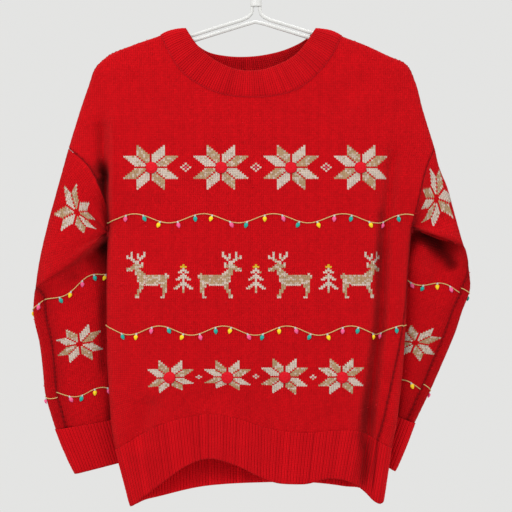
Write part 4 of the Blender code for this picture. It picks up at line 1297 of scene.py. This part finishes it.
# -------------------------------------------------------------------------------------- materials
class Nodes:
    """Short names for building a node tree."""

    def __init__(self, name):
        self.material = bpy.data.materials.new(name)
        self.material.use_nodes = True
        self.tree = self.material.node_tree
        self.shader = self.tree.nodes["Principled BSDF"]

    def add(self, kind, inputs=(), **settings):
        """A new node. inputs gives each socket a value or the socket that it is linked to."""
        node = self.tree.nodes.new(kind)
        for key, value in settings.items():
            setattr(node, key, value)
        self.set(node, dict(inputs))
        return node

    def set(self, node, inputs):
        for key, thing in inputs.items():
            if isinstance(thing, bpy.types.NodeSocket):
                self.tree.links.new(thing, node.inputs[key])
            elif thing is not None:
                node.inputs[key].default_value = thing

    def math(self, operation, *things):
        return self.add("ShaderNodeMath", enumerate(things), operation=operation).outputs[0]

    def product(self, *factors):
        """All the factors multiplied."""
        result = factors[0]
        for factor in factors[1:]:
            result = self.math("MULTIPLY", result, factor)
        return result

    def hump(self, count):
        """A round hump over each whole step of a count, 0 where two steps meet."""
        off = self.math("SUBTRACT", self.product(self.math("FRACT", count), 2.0), 1.0)
        return self.math("SUBTRACT", 1.0, self.math("POWER", self.math("ABSOLUTE", off), 2.0))

    def noise(self, scale, detail=3.0, vector=None, roughness=0.55):
        vector = vector or self.add("ShaderNodeTexCoord").outputs["Object"]
        inputs = {"Scale": scale, "Detail": detail, "Roughness": roughness, "Vector": vector}
        return self.add("ShaderNodeTexNoise", inputs).outputs["Fac"]

    def remap(self, value, low, high, to_low, to_high):
        inputs = {"Value": value, "From Min": low, "From Max": high, "To Min": to_low, "To Max": to_high}
        return self.add("ShaderNodeMapRange", inputs).outputs["Result"]

    def scaled(self, colour, factor):
        return self.add("ShaderNodeVectorMath", {0: colour, "Scale": factor}, operation="SCALE").outputs[0]

    def bump(self, height, distance, strength=1.0, normal=None):
        inputs = {"Distance": distance, "Strength": strength, "Height": height, "Normal": normal}
        return self.add("ShaderNodeBump", inputs).outputs["Normal"]

    def finish(self, colour, normal, roughness, sheen=0.0, sheen_roughness=0.4, tint=(1, 1, 1), specular=0.3):
        self.set(self.shader, {
            "Base Color": colour,
            "Normal": normal,
            "Roughness": roughness,
            "Sheen Weight": sheen,
            "Sheen Roughness": sheen_roughness,
            "Sheen Tint": (*tint, 1),
            "Specular IOR Level": specular,
        })
        return self.material


def knit_material(name, stitch_depth, painted_gap_shade):
    """Wool yarn knitted in legs. u and v count half stitches and courses, the colour is on the faces."""
    n = Nodes(name)
    split = n.add("ShaderNodeSeparateXYZ", {0: n.add("ShaderNodeUVMap", uv_map="stitch").outputs["UV"]})
    u, v = split.outputs[0], split.outputs[1]
    middle = n.math("SINE", n.product(n.math("FRACT", v), math.pi))
    leg = n.product(n.hump(u), n.math("MULTIPLY_ADD", middle, 0.65, 0.35))
    crown = n.hump(n.product(u, 0.5))
    spun = n.add("ShaderNodeCombineXYZ", {0: n.product(u, 5.0), 1: n.math("MULTIPLY_ADD", u, 1.5, v)})
    strands = n.noise(2.2, 2.0, spun.outputs[0])
    fluff = n.noise(1400.0, 3.0)
    mottle = n.noise(38.0, 3.0)
    colour = n.add("ShaderNodeAttribute", attribute_name="yarn").outputs["Color"]
    # The colour is darkened where legs and courses meet and in the valleys between wales: painted shade of the
    # gaps. Strands, fluff and mottle are the yarn's own uneven tone.
    shade = n.product(
        n.remap(leg, 0.0, 0.8, painted_gap_shade, 1.0),
        n.remap(crown, 0.0, 0.55, 0.80, 1.0),
        n.remap(strands, 0.25, 0.75, 0.90, 1.08),
        n.remap(fluff, 0.3, 0.7, 0.94, 1.06),
        n.remap(mottle, 0.3, 0.7, 0.96, 1.04),
    )
    height = n.math("ADD", n.math("MULTIPLY_ADD", crown, 0.6, leg), n.product(strands, 0.25))
    normal = n.bump(fluff, 0.00012, 0.8, n.bump(height, stitch_depth))
    return n.finish(n.scaled(colour, shade), normal, 0.92, 0.10, 0.45, (1.0, 0.20, 0.18), 0.05)


def yarn_material(name, colour, depth=0.00015, sheen=0.10, roughness=0.85, specular=0.1, scale=900.0):
    """Plain spun yarn or thread of one colour."""
    n = Nodes(name)
    spun, broad = n.noise(scale, 3.0), n.noise(120.0, 2.0)
    shade = n.product(n.remap(spun, 0.3, 0.7, 0.82, 1.12), n.remap(broad, 0.3, 0.7, 0.93, 1.05))
    return n.finish(n.scaled(colour, shade), n.bump(spun, depth), roughness, sheen, 0.4, colour, specular)


def coated_wire(name):
    """White plastic coating with faint flow marks and handling dirt."""
    n = Nodes(name)
    broad, fine = n.noise(14.0, 3.0), n.noise(420.0, 2.0)
    shade = n.product(n.remap(broad, 0.35, 0.7, 1.0, 0.93), n.remap(fine, 0.3, 0.7, 0.99, 1.01))
    normal = n.bump(n.noise(160.0, 3.0), 0.00008)
    roughness = n.remap(broad, 0.3, 0.7, 0.26, 0.40)
    return n.finish(n.scaled((0.60, 0.60, 0.585), shade), normal, roughness, specular=0.4)


# --------------------------------------------------------------------------- the sweater's pieces
MATERIALS = {
    "knit": knit_material("red_wool_knit", 0.00070, 0.45),
    "rib": knit_material("red_wool_rib", 0.00050, 0.60),
    "seam": yarn_material("linking_yarn", (0.42, 0.004, 0.009)),
    # The sunken seams' yarn is darkened far below the knit's red: painted shade of the groove.
    "groove": yarn_material("sunken_seam_yarn_painted_shade", (0.19, 0.0016, 0.0036), sheen=0.0),
    "fuzz": yarn_material("loose_fibre", (0.62, 0.008, 0.016), sheen=0.15),
    "berry": yarn_material("felted_berry", (0.60, 0.007, 0.016), depth=0.0004, scale=700.0, sheen=0.15),
    "cord": yarn_material("gold_cord", (0.62, 0.42, 0.16), sheen=0.1, roughness=0.55, specular=0.5),
    "cap": yarn_material("silver_cap", (0.42, 0.42, 0.44), sheen=0.0, roughness=0.4, specular=0.6),
    "p": yarn_material("bulb_pink", (0.78, 0.10, 0.25), sheen=0.1, roughness=0.6),
    "g": yarn_material("bulb_teal", (0.02, 0.36, 0.30), sheen=0.1, roughness=0.6),
    "y": yarn_material("bulb_yellow", (0.86, 0.60, 0.02), sheen=0.1, roughness=0.6),
    "wire": coated_wire("coated_wire"),
}

# Rows of charts from the top: stars with the berries at their centres, then deer and firs between them.
STARS = [  # z, x of each, reach in stitches, the small chart between them
    (-285, (-138, -46, 46, 138), 6, DIAMOND),
    (-562, (-114, -38, 38, 114), 5, DOTS),
]
DEER_LEVEL = -428
DEER_PLACES = [(-142, False), (-47, True), (47, False), (142, True)]  # x, whether it is flipped
FIR_LEVEL = -434
FIR_PLACES = [-95, 0, 95]
SLEEVE_STARS = {"left": [(-240, -345), (-236, -520)], "right": [(239, -325), (216, -520)]}
SLEEVE_STAR_REACH = 5
# Light strings: height, swing, pitch of the wave and where it starts.
STRINGS = [(-352, 6.0, 92.0, 0.0), (-500, 6.0, 84.0, 20.0)]
SLEEVE_STRING = (5.0, 70.0, 0.0)
SLEEVE_STRING_LEVELS = (0.13, 0.56)


def blank(cloth, base, spare=4):
    """An all-red grid of stitches that covers a surface."""
    wide = max(abs(cloth.low.min()), abs(cloth.high.max()))
    tall = cloth.q0 + cloth.dq * len(cloth.low) - base
    wales = 2 * (int(wide / WALE) + spare) + 1
    return np.full((int(tall / COURSE) + spare, wales), ".")


def body_codes(side, cloth):
    """The colour work of the front or back."""
    codes = blank(cloth, Q_HEM)
    charts = []
    for level, places, reach, small in STARS:
        charts += [(star_chart(reach), x, level) for x in places]
        charts += [(small, (a + b) / 2, level) for a, b in zip(places, places[1:])]
    charts += [(DEER, x, DEER_LEVEL, flip) for x, flip in DEER_PLACES]
    charts += [(FIR, x, FIR_LEVEL) for x in FIR_PLACES]
    for chart, x, z, *flip in charts:
        stamp(codes, cloth, Q_HEM, chart, x, z, -1 if side == "front" else 1, *flip)
    return codes


def sleeve_codes(hand, cloth):
    """The stars on the front of a sleeve."""
    codes = blank(cloth, 0.0)
    for x, z in SLEEVE_STARS[hand]:
        stamp(codes, cloth, 0.0, star_chart(SLEEVE_STAR_REACH), x, z, -1)
    return codes


# The surfaces first, then how open each place of them is to the light.
CLOTHS = {side: body_cloth(side) for side in ("front", "back")}
BORDERS = {side: body_border(side, CLOTHS[side]) for side in CLOTHS}
for hand in SIDE:
    CLOTHS["sleeve_" + hand] = sleeve_cloth(hand)
    BORDERS["sleeve_" + hand] = tube_border(CLOTHS["sleeve_" + hand])
GROUNDS = {"hem_" + side: hem_ground(side) for side in ("front", "back")}
GROUNDS.update({"cuff_" + hand: cuff_ground(hand) for hand in SIDE})
GROUNDS["neckband"] = neck_ground()
coarse_grids = [coarse(CLOTHS[key], BORDERS[key]) for key in CLOTHS]
for ground in GROUNDS.values():
    coarse_grids.append((ground[::5, ::6], np.ones_like(ground[::5, ::6][1:, 1:, 0], bool)))
tree = garment_tree(coarse_grids)
for key in CLOTHS:
    find_openness(CLOTHS[key], tree)

for number, side in enumerate(("front", "back")):
    codes = body_codes(side, CLOTHS[side])
    knit_piece(side + "_knit", CLOTHS[side], BORDERS[side], codes, SEEDS["body"] + number)
    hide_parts(side + "_panel")
for number, hand in enumerate(SIDE):
    key = "sleeve_" + hand
    codes = sleeve_codes(hand, CLOTHS[key])
    knit_piece(key + "_knit", CLOTHS[key], BORDERS[key], codes, SEEDS["sleeve"] + number, 0.0)
    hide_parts(key)

for number, side in enumerate(("front", "back")):
    key = "hem_" + side
    seed = SEEDS["hem"] + number
    # The back hem's inner face is lightened with painted light.
    rib_band(key + "_rib", GROUNDS[key], False, seed, inner_painted_light=1.3, bands=RIB_SHADE)
    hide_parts("hem_rib_" + side)
for number, hand in enumerate(SIDE):
    key = "cuff_" + hand
    rib_band(key + "_rib", GROUNDS[key], True, SEEDS["cuff"] + number)
    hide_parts(key)
rib_band("neckband_rib", GROUNDS["neckband"], True, SEEDS["neckband"], upward=True,
                              relief=(0.75, 1.5))
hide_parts("neckband")

# ------------------------------------------------------------------------ light strings and bulbs
heaps = {key: Heap() for key in ("cord", "cap", "p", "g", "y")}
for side in ("front", "back"):
    cloth = CLOTHS[side]
    for number, (level, *wave) in enumerate(STRINGS):
        light_string(heaps, cloth, cloth.edges(level), level, *wave, number)
for hand in SIDE:
    cloth = CLOTHS["sleeve_" + hand]
    for number, share in enumerate(SLEEVE_STRING_LEVELS):
        level = share * cloth.dq * (len(cloth.low) - 1)
        light_string(heaps, cloth, cloth.edges(level), level, *SLEEVE_STRING, number)
for key, name in (("cord", "light_cord"), ("cap", "bulb_caps"), ("p", "bulbs_pink"), ("g", "bulbs_teal"),
                  ("y", "bulbs_yellow")):
    heaps[key].make(name, MATERIALS[key])

# ------------------------------------------------------------------------------------------ seams
NECK_CHAIN = (0.2, 0.9)  # how far it stands out, and its radius
SUNKEN_CHAIN = (-0.5, 0.85)


def seam_line(heap, cloth, p, q, chain):
    """A chain of stitches along a line of a surface."""
    out, radius = chain
    chain_seam(heap, on_cloth(cloth, np.stack([p, q], -1), np.full(len(p), out)), radius)


heap, grooves = Heap(), Heap()
for side in ("front", "back"):
    seam_line(heap, CLOTHS[side], *neck_line(side, CLOTHS[side]).T, NECK_CHAIN)
# The side seams and the armholes, up to where the drop shoulder's ridge begins.
rows = np.arange(Q_HEM, -262.0, 2.0)
for ends in CLOTHS["front"].edges(rows):
    seam_line(grooves, CLOTHS["front"], ends, rows, SUNKEN_CHAIN)
for hand in SIDE:
    cloth = CLOTHS["sleeve_" + hand]
    seam_line(grooves, cloth, cloth.low, cloth.rows, SUNKEN_CHAIN)
    # A short bar and a stub close the corner under the arm, in the seams' yarn darkened with painted shade.
    x, z = SIDE[hand][-1]
    bar = [(x, -9, z + 7), (x, -6, z + 3), (x, -2, z), (x, 2, z), (x, 6, z + 3), (x, 9, z + 7)]
    grooves.add(*tube(bar, 1.7))
    grooves.add(*tube([(x, 0, z + 2), (x, 0, z - 3), (x, 0, z - 8)], 2.3))
heap.make("neck_seam_stitches", MATERIALS["seam"])
grooves.make("seam_stitches", MATERIALS["groove"])

# ----------------------------------------------------------------------------------------- berries
BERRY_RINGS, BERRY_SIDES = 15, 48
BERRY_DOME = 3.3


def berry(number):
    """A felted round: domed, with sunken rings of stitches and an uneven rim."""
    low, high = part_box(f"berry_{number}")
    centre = (np.array(low) + np.array(high)) / 2 / MM
    cloth = CLOTHS["front"]
    p, q = cloth.locate(*BERRY_PLACES[number - 1], -1)
    random = np.random.default_rng(SEEDS["berry"] + number)
    facing = unit(sum(cloth.normal(np.array([p + a]), np.array([q + b]))[0]
                      for a in (-6, 0, 6) for b in (-6, 0, 6)))
    across = unit(np.cross(np.array([0.0, 0.0, 1.0]), facing))
    up = np.cross(facing, across)
    points, faces = [centre + facing * 2.0], []
    for r in range(1, BERRY_RINGS + 1):
        share = r / BERRY_RINGS
        lean = share * math.pi * 0.58
        for k in range(BERRY_SIDES):
            turn = 2 * math.pi * k / BERRY_SIDES
            rim = 1 + 0.02 * math.sin(3 * turn + number) + 0.015 * random.normal()
            reach = BERRY_RADIUS * rim * math.sin(lean)
            height = BERRY_DOME * math.cos(lean) - BERRY_DOME / 3
            stitch = 0.34 * math.cos(share * BERRY_RINGS * 1.35) + 0.22 * math.cos(turn * 16 + r * 1.9) * share
            out = centre + across * reach * math.cos(turn) + up * reach * math.sin(turn)
            points.append(out + facing * (height + stitch + random.normal(0, 0.05)))
    for k in range(BERRY_SIDES):
        l = (k + 1) % BERRY_SIDES
        faces.append((0, 1 + k, 1 + l))
        for a in range(1, 1 + (BERRY_RINGS - 1) * BERRY_SIDES, BERRY_SIDES):
            faces.append((a + k, a + BERRY_SIDES + k, a + BERRY_SIDES + l, a + l))
    obj = finish_mesh(f"berry_{number}_felt", points, faces, MATERIALS["berry"])
    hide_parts(f"berry_{number}")
    return obj


BERRY_PLACES = [(x, level) for level, places, *_ in STARS for x in places]
for number in range(1, len(BERRY_PLACES) + 1):
    berry(number)

# --------------------------------------------------------------------------------- fibres and pills
random = np.random.default_rng(SEEDS["loose"])
LOOSE = {  # how many fibres and pills
    "front": (9000, 120),
    "back": (7000, 120),
    "sleeve_left": (4500, 90),
    "sleeve_right": (4500, 90),
}
hairs, balls = Heap(), Heap()
for key, counts in LOOSE.items():
    cloth, border = CLOTHS[key], BORDERS[key]
    low, high = border.min(0), border.max(0)
    for total, heap, build in zip(counts, (hairs, balls), (fibres, pills)):
        p = random.uniform(low[0], high[0], int(total * 1.6))
        q = random.uniform(low[1], high[1], int(total * 1.6))
        keep = inside_border(border, p, q)
        p, q = p[keep][:total], q[keep][:total]
        build(heap, cloth.at(p, q), cloth.normal(p, q), random)
hairs.make("loose_fibres", MATERIALS["fuzz"])
balls.make("wool_pills", MATERIALS["fuzz"])

# ----------------------------------------------------------------------------------------- hanger
for node in ("hanger_wire", "hanger_hook", "hanger_ferrule"):
    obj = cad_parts[node]
    for place in obj.material_slots:
        place.material = MATERIALS["wire"]

# ------------------------------------------------------------------------- floor, light and camera
FLOOR_Z = -1.25


def floor_material():
    n = Nodes("pale_floor")
    grain = n.noise(9.0, 4.0)
    shade = n.remap(grain, 0.3, 0.7, 0.985, 1.015)
    return n.finish(n.scaled((0.60, 0.60, 0.595), shade), n.bump(grain, 0.0004), 0.8, specular=0.2)


bpy.ops.mesh.primitive_circle_add(vertices=96, radius=2.3, fill_type="NGON", location=(0, 0, FLOOR_Z))
floor = bpy.context.object
floor.name = "floor"
floor.data.materials.append(floor_material())

world = bpy.data.worlds.new("pale_room")
bpy.context.scene.world = world
world.use_nodes = True
background = world.node_tree.nodes["Background"]
background.inputs["Strength"].default_value = 1.0
# The room is a little brighter overhead than at eye level, and dimmer below.
direction = world.node_tree.nodes.new("ShaderNodeTexCoord")
height = world.node_tree.nodes.new("ShaderNodeSeparateXYZ")
rising = world.node_tree.nodes.new("ShaderNodeValToRGB")
scaled = world.node_tree.nodes.new("ShaderNodeMapRange")
scaled.inputs["From Min"].default_value = -1.0
scaled.inputs["From Max"].default_value = 1.0
ROOM = [(0.30, 0.42), (0.36, 0.775), (0.64, 0.775), (0.70, 1.22), (1.0, 1.30)]
while len(rising.color_ramp.elements) < len(ROOM):
    rising.color_ramp.elements.new(0.5)
for element, (place, level) in zip(rising.color_ramp.elements, ROOM):
    element.position = place
    element.color = (level, level, level * 0.987, 1)
for source, target in (
    (direction.outputs["Generated"], height.inputs[0]),
    (height.outputs["Z"], scaled.inputs["Value"]),
    (scaled.outputs["Result"], rising.inputs["Fac"]),
    (rising.outputs["Color"], background.inputs["Color"]),
):
    world.node_tree.links.new(source, target)


def area_light(name, place, target, size, watts, colour=(1, 1, 1)):
    data = bpy.data.lights.new(name, "AREA")
    data.shape = "RECTANGLE"
    data.size, data.size_y = size
    data.energy = watts
    data.color = colour
    obj = bpy.data.objects.new(name, data)
    obj.location = place
    obj.rotation_euler = (Vector(target) - Vector(place)).to_track_quat("-Z", "Y").to_euler()
    bpy.context.scene.collection.objects.link(obj)


area_light("key_softbox", (-0.5, -1.35, 0.45), (0, 0, -0.30), (0.8, 0.8), 12.0)
area_light("fill_softbox", (1.3, -1.8, 0.2), (0, 0, -0.3), (1.2, 1.2), 5.0)
area_light("back_softbox", (0.3, 2.2, 0.9), (0, 0, -0.4), (1.4, 1.4), 14.0)

CAMERA_PLACE = (0.0, -1.715, -0.4017)
camera_data = bpy.data.cameras.new("camera")
camera_data.sensor_fit = "HORIZONTAL"
camera_data.sensor_width = 36.0
camera_data.lens = 18.0 / math.tan(math.radians(22.6 / 2))
camera = bpy.data.objects.new("camera", camera_data)
camera.location = CAMERA_PLACE
camera.rotation_euler = (math.radians(90), 0, 0)
bpy.context.scene.collection.objects.link(camera)
bpy.context.scene.camera = camera
bpy.context.scene.view_settings.view_transform = "Standard"
